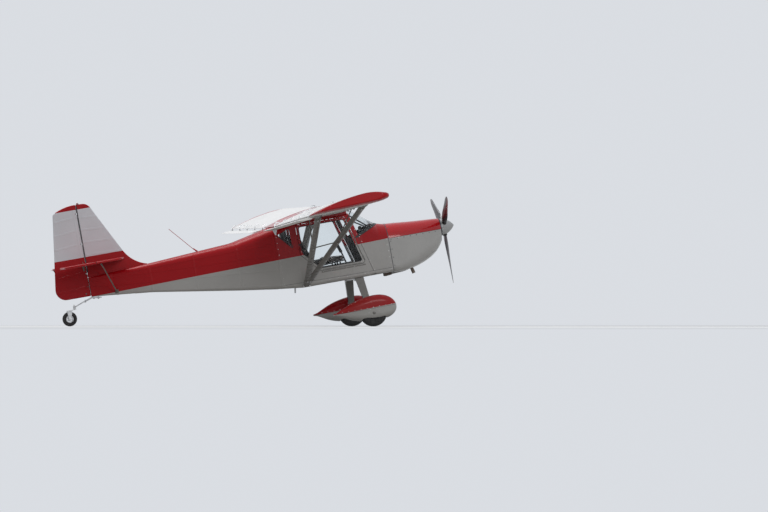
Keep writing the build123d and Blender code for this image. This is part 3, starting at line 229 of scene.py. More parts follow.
def metal(name, colour, roughness, brushed=(1, 1, 1)):
    s = Shader(name)
    streak = s.noise(240.0, 3.0, 0.6, brushed)
    s.set(
        Base_Color=s.shade(colour, s.noise(22.0, 6.0), 0.80, 1.06),
        Metallic=1.0,
        Roughness=s.ramp(streak, 0.3, 0.7, roughness - 0.07, roughness + 0.12),
        Normal=s.bump(streak, 0.00003, 0.7),
    )
    return s.material


def plastic(name, colour, roughness, grain=0.00012, scale=900.0, coat=0.0):
    s = Shader(name)
    s.set(
        Base_Color=s.shade(colour, s.noise(18.0, 5.0), 0.88, 1.10),
        Roughness=s.ramp(s.noise(60.0, 4.0), 0.3, 0.7, roughness - 0.06, roughness + 0.08),
        Coat_Weight=coat,
        Coat_Roughness=0.12,
        Normal=s.bump(s.noise(scale, 2.0), grain, 0.8),
    )
    return s.material


def rubber(name):
    """Black rubber with pale dust on it."""
    s = Shader(name)
    dust = s.ramp(s.noise(30.0, 7.0, 0.7), 0.42, 0.72, 0.0, 0.45)
    s.set(
        Base_Color=s.mix(dust, (0.012, 0.012, 0.013, 1), (0.060, 0.054, 0.047, 1)),
        Roughness=s.ramp(s.noise(45.0, 5.0), 0.3, 0.7, 0.62, 0.86),
        Normal=s.bump(s.noise(520.0, 4.0), 0.0004, 0.8),
    )
    return s.material


def glazing(name):
    """Thin clear plastic with faint smears."""
    s = Shader(name)
    s.set(
        Base_Color=(0.93, 0.96, 0.97, 1),
        Roughness=s.ramp(s.noise(11.0, 7.0, 0.65, (1, 0.5, 1)), 0.45, 0.8, 0.02, 0.10),
        IOR=1.08,
        Transmission_Weight=1.0,
        Specular_IOR_Level=0.5,
        Coat_Weight=0.25,
        Coat_Roughness=0.03,
        Normal=s.bump(s.noise(6.0, 2.0), 0.0006, 0.25),
    )
    return s.material


def cloth(name, colour, weave_scale=340.0, sheen=0.35):
    s = Shader(name)
    weave = s.threads(("DIAGONAL", "Y"), weave_scale, 1.2, 3.0)
    base = s.shade(colour, s.noise(12.0, 6.0), 0.78, 1.16)
    s.set(
        Base_Color=s.shade(base, weave, 0.82, 1.10),
        Roughness=s.ramp(weave, 0.2, 0.8, 0.92, 0.76),
        Sheen_Weight=sheen,
        Sheen_Roughness=0.5,
        Normal=s.bump(weave, 0.0005, 0.8, s.bump(s.noise(26.0, 4.0), 0.002, 0.4)),
    )
    return s.material


def blade_finish(name):
    """Dark composite with a faint maroon cast."""
    s = Shader(name)
    cast = s.ramp(s.noise(7.0, 4.0), 0.35, 0.75, 0.0, 0.6)
    base = s.mix(cast, (0.030, 0.030, 0.034, 1), (0.075, 0.020, 0.034, 1))
    s.set(
        Base_Color=s.shade(base, s.noise(300.0, 2.0), 0.85, 1.15),
        Roughness=s.ramp(s.noise(40.0, 5.0), 0.3, 0.7, 0.26, 0.42),
        Coat_Weight=0.35,
        Coat_Roughness=0.15,
        Normal=s.bump(s.noise(420.0, 3.0), 0.00008),
    )
    return s.material


SATIN = (0.32, 0.44)
body_paint = painted("body_paint", "body", coat=0.25)
# paint of the cabin shell and boot cowl, with painted shade on their inward faces
lined_paint = painted("lined_paint", "body", coat=0.25, shade_inside=True)
body_fabric = painted("body_fabric", "body", weave=True, coat=0.08, gloss=SATIN)
TAIL_PALE = (0.66, 0.69, 0.73, 1)
tail_fabric = painted("tail_fabric", "tail", pale=TAIL_PALE, weave=True, coat=0.06, gloss=(0.36, 0.48))
spat_paint = painted("spat_paint", "spat", pale=(0.44, 0.435, 0.42, 1), coat=0.2, gloss=SATIN)
red_paint = painted("red_paint", colour=RED, coat=0.4)
red_fabric = painted("red_fabric", colour=RED, weave=True, coat=0.08, gloss=SATIN)
cowl_red = painted("cowl_red", colour=(0.46, 0.006, 0.010, 1), coat=0.7)
cowl_white = painted("cowl_white", colour=(0.44, 0.435, 0.425, 1), coat=0.6)
wing_fabric = painted("wing_fabric", colour=(0.76, 0.76, 0.76, 1), weave=True, coat=0.04, gloss=(0.46, 0.60))
spinner_paint = painted("spinner_paint", colour=(0.40, 0.405, 0.41, 1), coat=0.8)
strut_paint = painted("strut_paint", colour=(0.15, 0.138, 0.122, 1), coat=0.3)
leg_paint = painted("leg_paint", colour=(0.22, 0.212, 0.20, 1), coat=0.4)
alloy = metal("alloy", (0.56, 0.57, 0.58, 1), 0.34, (1, 30, 1))
steel = metal("steel", (0.42, 0.42, 0.43, 1), 0.30, (30, 1, 1))
dark_steel = metal("dark_steel", (0.10, 0.10, 0.105, 1), 0.42)
burnt_steel = metal("burnt_steel", (0.14, 0.11, 0.09, 1), 0.55)
zinc = metal("zinc", (0.70, 0.70, 0.69, 1), 0.26)
engine_metal = metal("engine_metal", (0.30, 0.30, 0.31, 1), 0.5)
tube_paint = plastic("tube_paint", (0.045, 0.045, 0.05, 1), 0.38, 0.00006, 600.0, 0.3)
black_plastic = plastic("black_plastic", (0.018, 0.018, 0.020, 1), 0.55)
panel_grey = plastic("panel_grey", (0.060, 0.062, 0.068, 1), 0.6, 0.0001, 700.0)
dial_face = plastic("dial_face", (0.012, 0.012, 0.013, 1), 0.35, 0.00003)
dial_mark = plastic("dial_mark", (0.80, 0.80, 0.78, 1), 0.45, 0.00003)
grey_plastic = plastic("grey_plastic", (0.20, 0.20, 0.21, 1), 0.5)
antenna_red = plastic("antenna_red", (0.40, 0.012, 0.018, 1), 0.35, 0.00004, 900.0, 0.5)
lamp_red = plastic("lamp_red", (0.30, 0.01, 0.012, 1), 0.18, 0.00002, 900.0, 0.9)
tyre_rubber = rubber("tyre_rubber")
clear = glazing("clear_glazing")
blade_dark = blade_finish("blade_composite")
seat_cloth = cloth("seat_cloth", (0.050, 0.040, 0.034, 1))
seat_panel = cloth("seat_panel", (0.10, 0.070, 0.052, 1), 260.0)
webbing = cloth("webbing", (0.030, 0.030, 0.034, 1), 800.0, 0.1)

finishes = (
    (lined_paint, ("cabin_shell", "boot_cowl")),
    (body_paint, ("door_right", "door_left")),
    (body_fabric, ("rear_fuselage",)),
    (red_paint, ("roof",)),
    (clear, ("windscreen", "fixed_windows", "door_glass_right", "door_glass_left")),
    (tube_paint, ("cabin_frame", "flight_controls")),
    (panel_grey, ("instrument_panel",)),
    (seat_cloth, ("seats",)),
    (dark_steel, ("firewall",)),
    (cowl_red, ("upper_cowl",)),
    (cowl_white, ("lower_cowl",)),
    (engine_metal, ("engine",)),
    (burnt_steel, ("exhaust",)),
    (blade_dark, ("propeller",)),
    (spinner_paint, ("spinner",)),
    (wing_fabric, ("wing_right", "wing_left", "flaperon_right", "flaperon_left")),
    (red_fabric, ("wing_tips", "stabilizer", "elevator")),
    (tail_fabric, ("fin", "rudder")),
    (strut_paint, ("lift_struts", "tail_struts")),
    (alloy, ("flaperon_arms", "belly_drain", "tailwheel_fork", "tailwheel_rim")),
    (antenna_red, ("antenna",)),
    (leg_paint, ("main_gear_leg", "rim_right", "rim_left")),
    (tyre_rubber, ("tyre_right", "tyre_left", "tailwheel_tyre")),
    (spat_paint, ("wheel_fairings",)),
    (steel, ("tail_spring",)),
)
for finish, names in finishes:
    for name in names:
        mesh = nodes[name].data
        mesh.materials.clear()
        mesh.materials.append(finish)


def to_object(name, bm, finish, body="airframe", sharp=35.0):
    """A mesh made in the level frame becomes a piece that rides on a body."""
    bmesh.ops.remove_doubles(bm, verts=bm.verts, dist=1e-6)
    bmesh.ops.recalc_face_normals(bm, faces=bm.faces)
    mesh = bpy.data.meshes.new(name)
    bm.to_mesh(mesh)
    bm.free()
    mesh.transform(LEVEL)
    mesh.materials.append(finish)
    mesh.set_sharp_from_angle(angle=math.radians(sharp))
    for polygon in mesh.polygons:
        polygon.use_smooth = True
    obj = bpy.data.objects.new(name, mesh)
    scene.collection.objects.link(obj)
    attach(obj, body)
    return obj


def meshes(count):
    return [bmesh.new() for _ in range(count)]


def skin(bm, rows, closed=False):
    """Faces between one row of vertices and the next, all rows of one length."""
    for a, b in zip(rows, rows[1:]):
        for k in range(len(a) if closed else len(a) - 1):
            n = (k + 1) % len(a)
            bm.faces.new((a[k], a[n], b[n], b[k]))


# Surfaces of the frame, in the level frame, that the details are laid on
def surface_of(*names):
    verts, faces = [], []
    for name in names:
        mesh = nodes[name].data
        start = len(verts)
        verts += [TO_LEVEL @ v.co for v in mesh.vertices]
        faces += [[start + i for i in p.vertices] for p in mesh.polygons]
    return BVHTree.FromPolygons(verts, faces)


def drop(tree, point, direction, reach):
    """Where a ray from reach behind the point meets the surface, and the normal facing back along the ray."""
    direction = Vector(direction).normalized()
    hit, normal = tree.ray_cast(Vector(point) - direction * reach, direction, 3 * reach)[:2]
    if hit is None:
        return None, None
    return hit, (normal if normal.dot(direction) < 0 else -normal)


def band_profile(height):
    """Cross section of a tape: shares of its width and heights over the surface."""
    return (-0.5, -0.0003), (-0.42, height), (0.42, height), (0.5, -0.0003)


def tape(bm, tree, points, direction, width, height, reach=0.3):
    """A thin raised band along the points, dropped on to the surface."""
    previous = None
    for i, point in enumerate(points):
        along = Vector(points[min(i + 1, len(points) - 1)]) - Vector(points[max(i - 1, 0)])
        side = along.cross(Vector(direction)).normalized() * width
        row = []
        for share, lift in band_profile(height):
            hit, normal = drop(tree, Vector(point) + side * share, direction, reach)
            if hit is not None:
                row.append(bm.verts.new(hit + normal * lift))
        row = row if len(row) == 4 else None
        if previous and row:
            skin(bm, (previous, row))
        previous = row


def line_points(start, end, count):
    start, end = Vector(start), Vector(end)
    return [start.lerp(end, i / (count - 1)) for i in range(count)]


def spread(low, high, count):
    return [low + (high - low) * i / (count - 1) for i in range(count)]


def around(count, first=0.0):
    """Angles evenly spaced round a full turn."""
    return [first + 2 * math.pi * k / count for k in range(count)]


def fastener(bm, centre, normal, radius, height, sides=10, slot=True):
    """A low domed screw head with a slot across it."""
    centre, normal = Vector(centre), Vector(normal).normalized()
    side = normal.orthogonal().normalized()
    other = normal.cross(side)
    rings = []
    for share, lift in ((1.0, -0.0004), (1.0, height * 0.55), (0.72, height * 0.92)):
        rings.append([
            bm.verts.new(centre + (side * math.cos(a) + other * math.sin(a)) * radius * share + normal * lift)
            for a in around(sides)
        ])
    skin(bm, rings, closed=True)
    dip = bm.verts.new(centre + normal * height * (0.45 if slot else 1.0))
    for i in range(sides):
        bm.faces.new((rings[-1][i], rings[-1][(i + 1) % sides], dip))


def bolt(bm, centre, normal, radius, height):
    fastener(bm, centre, normal, radius, height, 6, False)


def fastener_row(bm, tree, points, direction, radius, height, reach=0.3):
    for point in points:
        hit, normal = drop(tree, point, direction, reach)
        if hit is not None:
            fastener(bm, hit, normal, radius, height)


def tube(bm, points, radius, sides, closed=False):
    """A round tube through the points, with a steady frame from one ring to the next."""
    points = [Vector(p) for p in points]
    radii = radius if isinstance(radius, (list, tuple)) else [radius] * len(points)
    last = len(points) - 1
    rings = []
    side = None
    for i, point in enumerate(points):
        ahead = points[(i + 1) % len(points)] if closed else points[min(i + 1, last)]
        behind = points[i - 1] if closed else points[max(i - 1, 0)]
        along = (ahead - behind).normalized()
        side = along.orthogonal() if side is None else side - along * side.dot(along)
        side.normalize()
        other = along.cross(side)
        rings.append([
            bm.verts.new(point + (side * math.cos(a) + other * math.sin(a)) * radii[i])
            for a in around(sides)
        ])
    if closed:
        skin(bm, rings + rings[:1], closed=True)
    else:
        skin(bm, rings, closed=True)
        bm.faces.new(list(reversed(rings[0])))
        bm.faces.new(rings[-1])


def turned_piece(bm, profile, centre, axis, sides):
    """A turned shape: profile pairs of distance along the axis and radius."""
    centre, axis = Vector(centre), Vector(axis).normalized()
    side = axis.orthogonal().normalized()
    other = axis.cross(side)
    rings = []
    for along, radius in profile:
        middle = centre + axis * along
        if radius < 1e-6:
            rings.append([bm.verts.new(middle)])
            continue
        rings.append([
            bm.verts.new(middle + (side * math.cos(a) + other * math.sin(a)) * radius)
            for a in around(sides)
        ])
    for a, b in zip(rings, rings[1:]):
        if len(a) == len(b):
            skin(bm, (a, b), closed=True)
            continue
        for k in range(sides):
            n = (k + 1) % sides
            bm.faces.new((a[0], b[n], b[k]) if len(a) == 1 else (a[k], a[n], b[0]))


def turned_on(bm, tree, point, direction, reach, profile, sides):
    """A turned piece that stands on the surface where the ray meets it."""
    hit, normal = drop(tree, point, direction, reach)
    if hit is not None:
        turned_piece(bm, profile, hit, normal, sides)
    return hit, normal


def sleeve(half, inner, outer):
    """Profile of a short ring."""
    return (-half, inner), (-half, outer), (half, outer), (half, inner)


def soft_block(bm, corners, bevel, segments):
    """A block from eight corners, low face then high face, with rounded edges."""
    verts = [bm.verts.new(Vector(c)) for c in corners]
    faces = [
        bm.faces.new([verts[i] for i in order])
        for order in ((3, 2, 1, 0), (4, 5, 6, 7), (0, 1, 5, 4), (1, 2, 6, 5), (2, 3, 7, 6), (3, 0, 4, 7))
    ]
    rim = {edge for face in faces for edge in face.edges}
    bmesh.ops.bevel(bm, geom=list(rim), offset=bevel, segments=segments, profile=0.6, affect="EDGES")


def soft_box(bm, low, high, bevel, segments=2):
    """A level block from two opposite corners, whose y values come in either order."""
    (a, b, c), (d, e, f) = low, high
    b, e = sorted((b, e))
    corners = [(a, b, c), (d, b, c), (d, e, c), (a, e, c), (a, b, f), (d, b, f), (d, e, f), (a, e, f)]
    soft_block(bm, corners, bevel, segments)


def plate(bm, outline, thickness):
    """A flat plate: its outline on one face and the vector to the other face."""
    shift = Vector(thickness) / 2
    near = [bm.verts.new(Vector(p) - shift) for p in outline]
    far = [bm.verts.new(Vector(p) + shift) for p in outline]
    bm.faces.new(list(reversed(near)))
    bm.faces.new(far)
    skin(bm, (near, far), closed=True)


UP, DOWN = (0, 0, 1), (0, 0, -1)
FORWARD, AFT = (1, 0, 0), (-1, 0, 0)
ACROSS = (0, 1, 0)
EITHER_WAY = (DOWN, UP)
FROM_BOTH_SIDES = (ACROSS, (0, -1, 0))
SIDES = (-1, 1)


# Wings and flaperons: rib tapes with their lacing, leading edge and tip tapes, caps and fittings
ROOT_Y = 0.560
TIP_RIB_Y = 4.400
ROOT_Z = 1.74
WING_CHORD = 1.130
INCIDENCE = math.radians(4.5)
DIHEDRAL = math.radians(1.0)
RIB_YS = spread(ROOT_Y + 0.06, TIP_RIB_Y - 0.06, 12)
FUEL_CAP = (
    (-0.002, 0.048), (0.003, 0.048), (0.0045, 0.045), (0.0045, 0.036), (0.002, 0.034),
    (0.002, 0.032), (0.014, 0.031), (0.017, 0.028), (0.0175, 0.0),
)
INSPECTION_RING = (
    (-0.002, 0.062), (0.002, 0.062), (0.0032, 0.058), (0.0032, 0.052), (0.0016, 0.050), (0.0018, 0.0),
)
TANK_DRAIN = ((-0.002, 0.012), (0.006, 0.012), (0.008, 0.007), (0.020, 0.006), (0.022, 0.0))


def wing_z(x, y):
    """Rough height of the wing at a point, for the rays that find its skin."""
    return ROOT_Z + (abs(y) - ROOT_Y) * math.tan(DIHEDRAL) + x * math.tan(INCIDENCE)


def over_wing(x, y):
    return Vector((x, y, wing_z(x, y)))


def wing_details(side, node):
    """Fabric tapes and small fittings of one wing."""
    tree = surface_of(node)
    tapes, stitches, fittings = meshes(3)
    for rib_y in RIB_YS:
        y = side * rib_y
        for direction, front in ((DOWN, -0.004), (UP, -0.03)):
            points = [over_wing(front - 1.112 * i / 30, y) for i in range(31)]
            tape(tapes, tree, points, direction, 0.056, 0.0022)
        # the knots of the lacing stand on the lower tapes
        for i in range(12):
            hit, normal = drop(tree, over_wing(-0.07 - 0.085 * i, y), UP, 0.3)
            if hit is not None:
                fastener(stitches, hit + normal * 0.0018, normal, 0.0055, 0.0028, 6, False)
    for x, width in ((-0.012, 0.075), (-0.115, 0.045), (-0.765, 0.045), (-1.095, 0.05)):
        points = line_points(over_wing(x, side * ROOT_Y), over_wing(x, side * TIP_RIB_Y), 60)
        for direction in EITHER_WAY:
            tape(tapes, tree, points, direction, width, 0.0015)
    word = node.split("_")[1]
    to_object(f"wing_tapes_{word}", tapes, wing_fabric)
    to_object(f"rib_lacing_{word}", stitches, wing_fabric)
    # fuel cap with its grip on top, inspection rings and tank drain below
    hit, normal = turned_on(fittings, tree, over_wing(-0.30, side * 0.98), DOWN, 0.3, FUEL_CAP, 28)
    tube(fittings, [hit + normal * 0.021 + Vector((dx, 0, 0)) for dx in (-0.026, 0, 0.026)], 0.0045, 8)
    for rib in (1, 4, 6, 9):
        for x in (-0.22, -0.70):
            turned_on(fittings, tree, over_wing(x, side * (RIB_YS[rib] + 0.11)), UP, 0.3, INSPECTION_RING, 32)
    turned_on(fittings, tree, over_wing(-0.62, side * 0.70), UP, 0.3, TANK_DRAIN, 16)
    to_object(f"wing_fittings_{word}", fittings, alloy)


for side, node in ((-1, "wing_right"), (1, "wing_left")):
    wing_details(side, node)


def tip_details():
    """Joint tape with its screws where each tip meets the wing."""
    tree = surface_of("wing_tips", "wing_right", "wing_left")
    bm = bmesh.new()
    for side in SIDES:
        for direction in EITHER_WAY:
            points = [over_wing(-0.006 - 1.11 * i / 40, side * TIP_RIB_Y) for i in range(41)]
            tape(bm, tree, points, direction, 0.060, 0.0018)
            for i in range(16):
                place = over_wing(-0.05 - 0.066 * i, side * (TIP_RIB_Y + 0.016))
                hit, normal = drop(tree, place, direction, 0.3)
                if hit is not None:
                    fastener(bm, hit + normal * 0.0015, normal, 0.0042, 0.0016)
    to_object("tip_joint_tapes", bm, red_fabric)


tip_details()

# the flaperons hang below and behind the trailing edge on five arms each
FLAPERON_FRONT_X = -WING_CHORD * math.cos(INCIDENCE) + 0.034
HINGE_X = -WING_CHORD * math.cos(INCIDENCE) - 0.0065
HINGE_DROP = WING_CHORD * math.sin(INCIDENCE) + 0.016
HINGE_ARM_YS = spread(ROOT_Y + 0.14, TIP_RIB_Y - 0.10, 5)
HINGE_BOLT = ((-0.001, 0.0085), (0.0045, 0.0085), (0.0055, 0.007), (0.0055, 0.0))
FLAPERON_HORN = ((-0.035, 0.004), (-0.008, -0.075), (0.008, -0.075), (0.03, 0.004))


def flaperon_details(side, node):
    """Rib ridges, a root horn and the hinge bolts of one flaperon."""
    tree = surface_of(node)
    ridges, metalwork = meshes(2)
    reach = [abs((TO_LEVEL @ v.co).y) for v in nodes[node].data.vertices]
    inner, outer = min(reach) + 0.02, max(reach) - 0.02
    for y in spread(inner, outer, 17):
        height = wing_z(-1.15, y)
        points = [Vector((FLAPERON_FRONT_X - 0.205 * k / 12, side * y, height)) for k in range(13)]
        for direction in EITHER_WAY:
            tape(ridges, tree, points, direction, 0.034, 0.0018)
    for share in (0.06, 0.93):
        x = FLAPERON_FRONT_X - 0.21 * share
        points = [Vector((x, side * y, wing_z(-1.15, y))) for y in spread(inner, outer, 51)]
        for direction in EITHER_WAY:
            tape(ridges, tree, points, direction, 0.026, 0.0012)
    to_object(f"{node}_tapes", ridges, wing_fabric, node)
    for arm in HINGE_ARM_YS:
        centre = (HINGE_X, side * (arm + 0.0125), wing_z(0, arm) - HINGE_DROP)
        turned_piece(metalwork, HINGE_BOLT, centre, (0, side, 0), 6)
    root = (FLAPERON_FRONT_X - 0.045, side * (inner + 0.015), wing_z(-1.15, inner) - 0.08)
    hit = drop(tree, root, UP, 0.3)[0]
    if hit is not None:
        plate(metalwork, [hit + Vector((x, 0, z)) for x, z in FLAPERON_HORN], (0, 0.005, 0))
        bolt(metalwork, hit + Vector((0, 0.0025 * side, -0.062)), (0, side, 0), 0.006, 0.005)
    to_object(f"{node}_metalwork", metalwork, alloy, node)


for side, node in ((-1, "flaperon_right"), (1, "flaperon_left")):
    flaperon_details(side, node)


# Tail surfaces: rib tapes, edges, hinge bolts, the trim tab and the horns
HINGE_LINE_X = -3.85
ELEVATOR_Z = 1.58
FIN_FRONT = ((-3.273, 1.694), (-3.633, 2.391))


def upright_tapes(name, node, body, ribs):
    """Tapes on both faces of an upright surface; each rib runs from one (x, z) to another."""
    tree = surface_of(node)
    bm = bmesh.new()
    for (x0, z0), (x1, z1) in ribs:
        for direction in FROM_BOTH_SIDES:
            tape(bm, tree, line_points((x0, 0, z0), (x1, 0, z1), 16), direction, 0.032, 0.0022, 0.1)
    to_object(name, bm, tail_fabric, body)


def level_tapes(name, node, body, ribs):
    """Tapes on both faces of a level surface; each rib runs from one (x, y) to another."""
    tree = surface_of(node)
    bm = bmesh.new()
    for (x0, y0), (x1, y1) in ribs:
        for side in SIDES:
            points = line_points((x0, side * y0, ELEVATOR_Z), (x1, side * y1, ELEVATOR_Z), 14)
            for direction in EITHER_WAY:
                tape(bm, tree, points, direction, 0.030, 0.0022, 0.1)
    to_object(name, bm, red_fabric, body)


def fin_edge_x(z):
    (x0, z0), (x1, z1) = FIN_FRONT
    return x0 + (x1 - x0) * (z - z0) / (z1 - z0)


fin_ribs = [((fin_edge_x(z) - 0.02, z), (-3.825, z + 0.02)) for z in (1.70, 1.88, 2.06, 2.24)]
upright_tapes("fin_tapes", "fin", "airframe", fin_ribs + [((-3.818, 1.45), (-3.818, 2.43))])
rudder_ribs = [
    ((-3.889, z), (-4.33 + (z - 1.282) * 0.1405 + 0.02, z - 0.03))
    for z in (1.26, 1.47, 1.68, 1.88, 2.08, 2.27)
]
upright_tapes("rudder_tapes", "rudder", "rudder", rudder_ribs + [((-3.876, 1.14), (-3.876, 2.43))])
stabilizer_ribs = [((-3.29 - 0.11 * y, y), (-3.778, y)) for y in (0.10, 0.32, 0.54, 0.76, 0.98, 1.12)]
stabilizer_ribs.append(((-3.772, 0.03), (-3.772, 1.19)))
level_tapes("stabilizer_tapes", "stabilizer", "airframe", stabilizer_ribs)
elevator_ribs = [((-3.812, y), (-4.225, y)) for y in (0.34, 0.56, 0.78, 1.00)]
elevator_ribs.append(((-3.820, 0.10), (-3.820, 1.19)))
level_tapes("elevator_tapes", "elevator", "elevator", elevator_ribs)

RUDDER_PIN = ((-0.021, 0.0), (-0.021, 0.007), (-0.016, 0.0075), (0.016, 0.0075), (0.021, 0.007), (0.021, 0.0))
LIGHT_BASE = ((-0.003, 0.019), (0.004, 0.019), (0.006, 0.015), (0.006, 0.0))
LIGHT_LENS = ((0.0, 0.0135), (0.006, 0.0140), (0.012, 0.0125), (0.017, 0.008), (0.019, 0.0))
LIGHT_X = -3.800
TAB_FRONT_X, TAB_REAR_X = -4.227, -4.284
TAB_YS = (0.36, 0.78)
TAB_HINGE_X = -4.229


def trim_tab():
    """The tab behind the left elevator, with its hinges and pushrod."""
    tab, link = meshes(2)
    z = ELEVATOR_Z
    inner, outer = TAB_YS
    soft_block(tab, [
        (TAB_REAR_X, inner, z - 0.003), (TAB_FRONT_X, inner, z - 0.008),
        (TAB_FRONT_X, outer, z - 0.008), (TAB_REAR_X, outer, z - 0.003),
        (TAB_REAR_X, inner, z + 0.001), (TAB_FRONT_X, inner, z + 0.008),
        (TAB_FRONT_X, outer, z + 0.008), (TAB_REAR_X, outer, z + 0.001),
    ], 0.0012, 2)
    to_object("trim_tab", tab, red_paint, "elevator")
    x, middle = TAB_HINGE_X, sum(TAB_YS) / 2
    for y in (0.42, middle, 0.72):
        tube(link, [(x + 0.012, y, z + 0.013), (x - 0.016, y, z + 0.010)], 0.004, 8)
    tube(link, [(x + 0.119, middle, z - 0.016), (x - 0.02, middle, z - 0.030)], 0.0025, 8)
    horn = ((-0.010, 0), (-0.030, 0), (-0.022, -0.036), (-0.014, -0.036))
    plate(link, [(x + dx, middle, z + dz) for dx, dz in horn], (0, 0.003, 0))
    return link


def tail_hardware():
    """Trim tab, horns, hinge bolts, gap seals, the light on the fin and the strut ends."""
    link = trim_tab()
    z = ELEVATOR_Z
    horn = ((-3.86, 0), (-3.90, 0), (-3.885, -0.09), (-3.868, -0.09))
    for side in SIDES:
        tube(link, [(-3.875, side * 0.075, z + 0.05), (-3.875, side * 0.075, z - 0.05)], 0.004, 8)
        plate(link, [(x, side * 0.072, z + dz) for x, dz in horn], (0, 0.004, 0))
        bolt(link, (-3.877, side * 0.076, z - 0.078), (0, side, 0), 0.007, 0.005)
    to_object("elevator_horns", link, strut_paint, "elevator")

    rudder = bmesh.new()
    arm = ((-3.852, 0.012), (-3.880, 0.012), (-3.872, 0.110), (-3.853, 0.110))
    for side in SIDES:
        plate(rudder, [(x, side * y, 1.262) for x, y in arm], (0, 0, 0.004))
        bolt(rudder, (-3.862, side * 0.098, 1.266), UP, 0.007, 0.005)
        bolt(rudder, (-3.90, side * 0.0155, 1.165), (0, side, 0), 0.011, 0.006)
    for hinge_z in (1.45, 1.88, 2.32):
        turned_piece(rudder, RUDDER_PIN, (HINGE_LINE_X, 0, hinge_z), UP, 6)
    to_object("rudder_horn", rudder, strut_paint, "rudder")

    seal = bmesh.new()
    for low_z, high_z in ((1.400, 1.440), (1.460, 1.870), (1.890, 2.310), (2.330, 2.438), (1.135, 1.385)):
        soft_box(seal, (-3.8333, -0.0125, low_z), (-3.8285, 0.0125, high_z), 0.001, 1)
    for side in SIDES:
        for start, end in ((0.040, 0.249), (0.271, 1.069), (1.091, 1.175)):
            soft_box(seal, (-3.7833, side * start, z - 0.0125), (-3.7785, side * end, z + 0.0125), 0.001, 1)
    fin_tree = surface_of("fin")
    for direction in FROM_BOTH_SIDES:
        points = line_points((-3.8225, 0, 1.46), (-3.8225, 0, 2.432), 40)
        tape(seal, fin_tree, points, direction, 0.011, 0.0032, 0.1)
    to_object("hinge_gap_seals", seal, black_plastic)

    base, lens, ends = meshes(3)
    turned_piece(base, LIGHT_BASE, (LIGHT_X, 0, 2.4515), UP, 20)
    to_object("fin_light_base", base, dark_steel)
    turned_piece(lens, LIGHT_LENS, (LIGHT_X, 0, 2.457), UP, 20)
    to_object("fin_light", lens, lamp_red)
    for side in SIDES:
        low, high = Vector((-3.465, side * 0.105, 1.125)), Vector((-3.688, side * 0.790, 1.563))
        along = (high - low).normalized()
        for foot, way in ((low, along), (high, -along)):
            tube(ends, [foot - way * 0.004, foot + way * 0.045], [0.0115, 0.0105], 12)
            bolt(ends, foot + way * 0.018 + Vector((0.011, 0, 0)), FORWARD, 0.008, 0.006)
        y0, y1 = side * 0.098, side * 0.102
        corners = [(-3.44, y0, 1.10), (-3.49, y0, 1.10), (-3.49, y1, 1.15), (-3.44, y1, 1.15)]
        plate(ends, corners, (0, side * 0.004, 0))
    to_object("tail_strut_ends", ends, strut_paint)


tail_hardware()

# Rear fuselage: stringer and bulkhead tapes and drain grommets
REAR_STRINGERS = ((0.80, 1.145), (1.02, 1.245), (1.24, 1.335), (1.40, 1.365))
REAR_BULKHEADS = (
    (-1.155, 0.79, 1.60), (-1.704, 0.87, 1.48), (-2.33, 0.95, 1.43), (-2.96, 1.04, 1.41), (-3.52, 1.09, 1.39),
)
DRAIN_GROMMET = ((-0.002, 0.016), (0.002, 0.016), (0.003, 0.013), (0.002, 0.008), (-0.002, 0.006))


def rear_details():
    tree = surface_of("rear_fuselage")
    tapes, rings = meshes(2)
    for side in SIDES:
        inward, y = (0, -side, 0), side * 0.3
        for front_z, rear_z in REAR_STRINGERS:
            points = line_points((-1.15, y, front_z), (-3.80, y, rear_z), 50)
            tape(tapes, tree, points, inward, 0.016, 0.0024, 0.6)
        for x, low, high in REAR_BULKHEADS:
            tape(tapes, tree, line_points((x, y, low), (x, y, high), 24), inward, 0.036, 0.0014, 0.6)
    for x, y in ((-1.35, 0.14), (-1.35, -0.14), (-2.10, 0.0), (-2.80, 0.0), (-3.45, 0.0)):
        turned_on(rings, tree, (x, y, 0.95), UP, 0.6, DRAIN_GROMMET, 20)
    for side in SIDES:
        belly = line_points((-1.15, side * 0.10, 1.0), (-3.2, side * 0.03, 1.15), 40)
        tape(tapes, tree, belly, UP, 0.016, 0.0024, 0.6)
        back = line_points((-1.15, side * 0.20, 1.4), (-3.2, side * 0.05, 1.4), 40)
        tape(tapes, tree, back, DOWN, 0.016, 0.0024, 0.6)
    to_object("fuselage_tapes", tapes, body_fabric)
    to_object("fuselage_rings", rings, alloy)


rear_details()

# Cabin outside: seals, strips, screws, sills, hinges and catches
PILLAR_SLOPE = -0.2816
BASE_SLOPE = math.tan(math.radians(22.8))


def pillar_x(z, ahead=0.0):
    return 0.110 + ahead + (z - 0.907) * PILLAR_SLOPE


def ring_tape(bm, tree, centre, upward, angles, width, height):
    """A band laid round a hull section by rays towards its centre; gives the places it runs through."""
    hits = []
    for a in angles:
        direction = -(Vector(ACROSS) * math.sin(a) + Vector(upward) * math.cos(a))
        hit, normal = drop(tree, centre, direction, 0.9)
        if hit is not None:
            hits.append((hit, normal, direction))
    rows = []
    for i, (hit, normal, direction) in enumerate(hits):
        along = hits[min(i + 1, len(hits) - 1)][0] - hits[max(i - 1, 0)][0]
        side = along.cross(direction).normalized() * width
        row = []
        for share, lift in band_profile(height):
            place, face = drop(tree, hit + side * share, direction, 0.25)
            if place is None:
                place, face = hit + side * share, normal
            row.append(bm.verts.new(place + face * lift))
        rows.append(row)
    skin(bm, rows)
    return hits


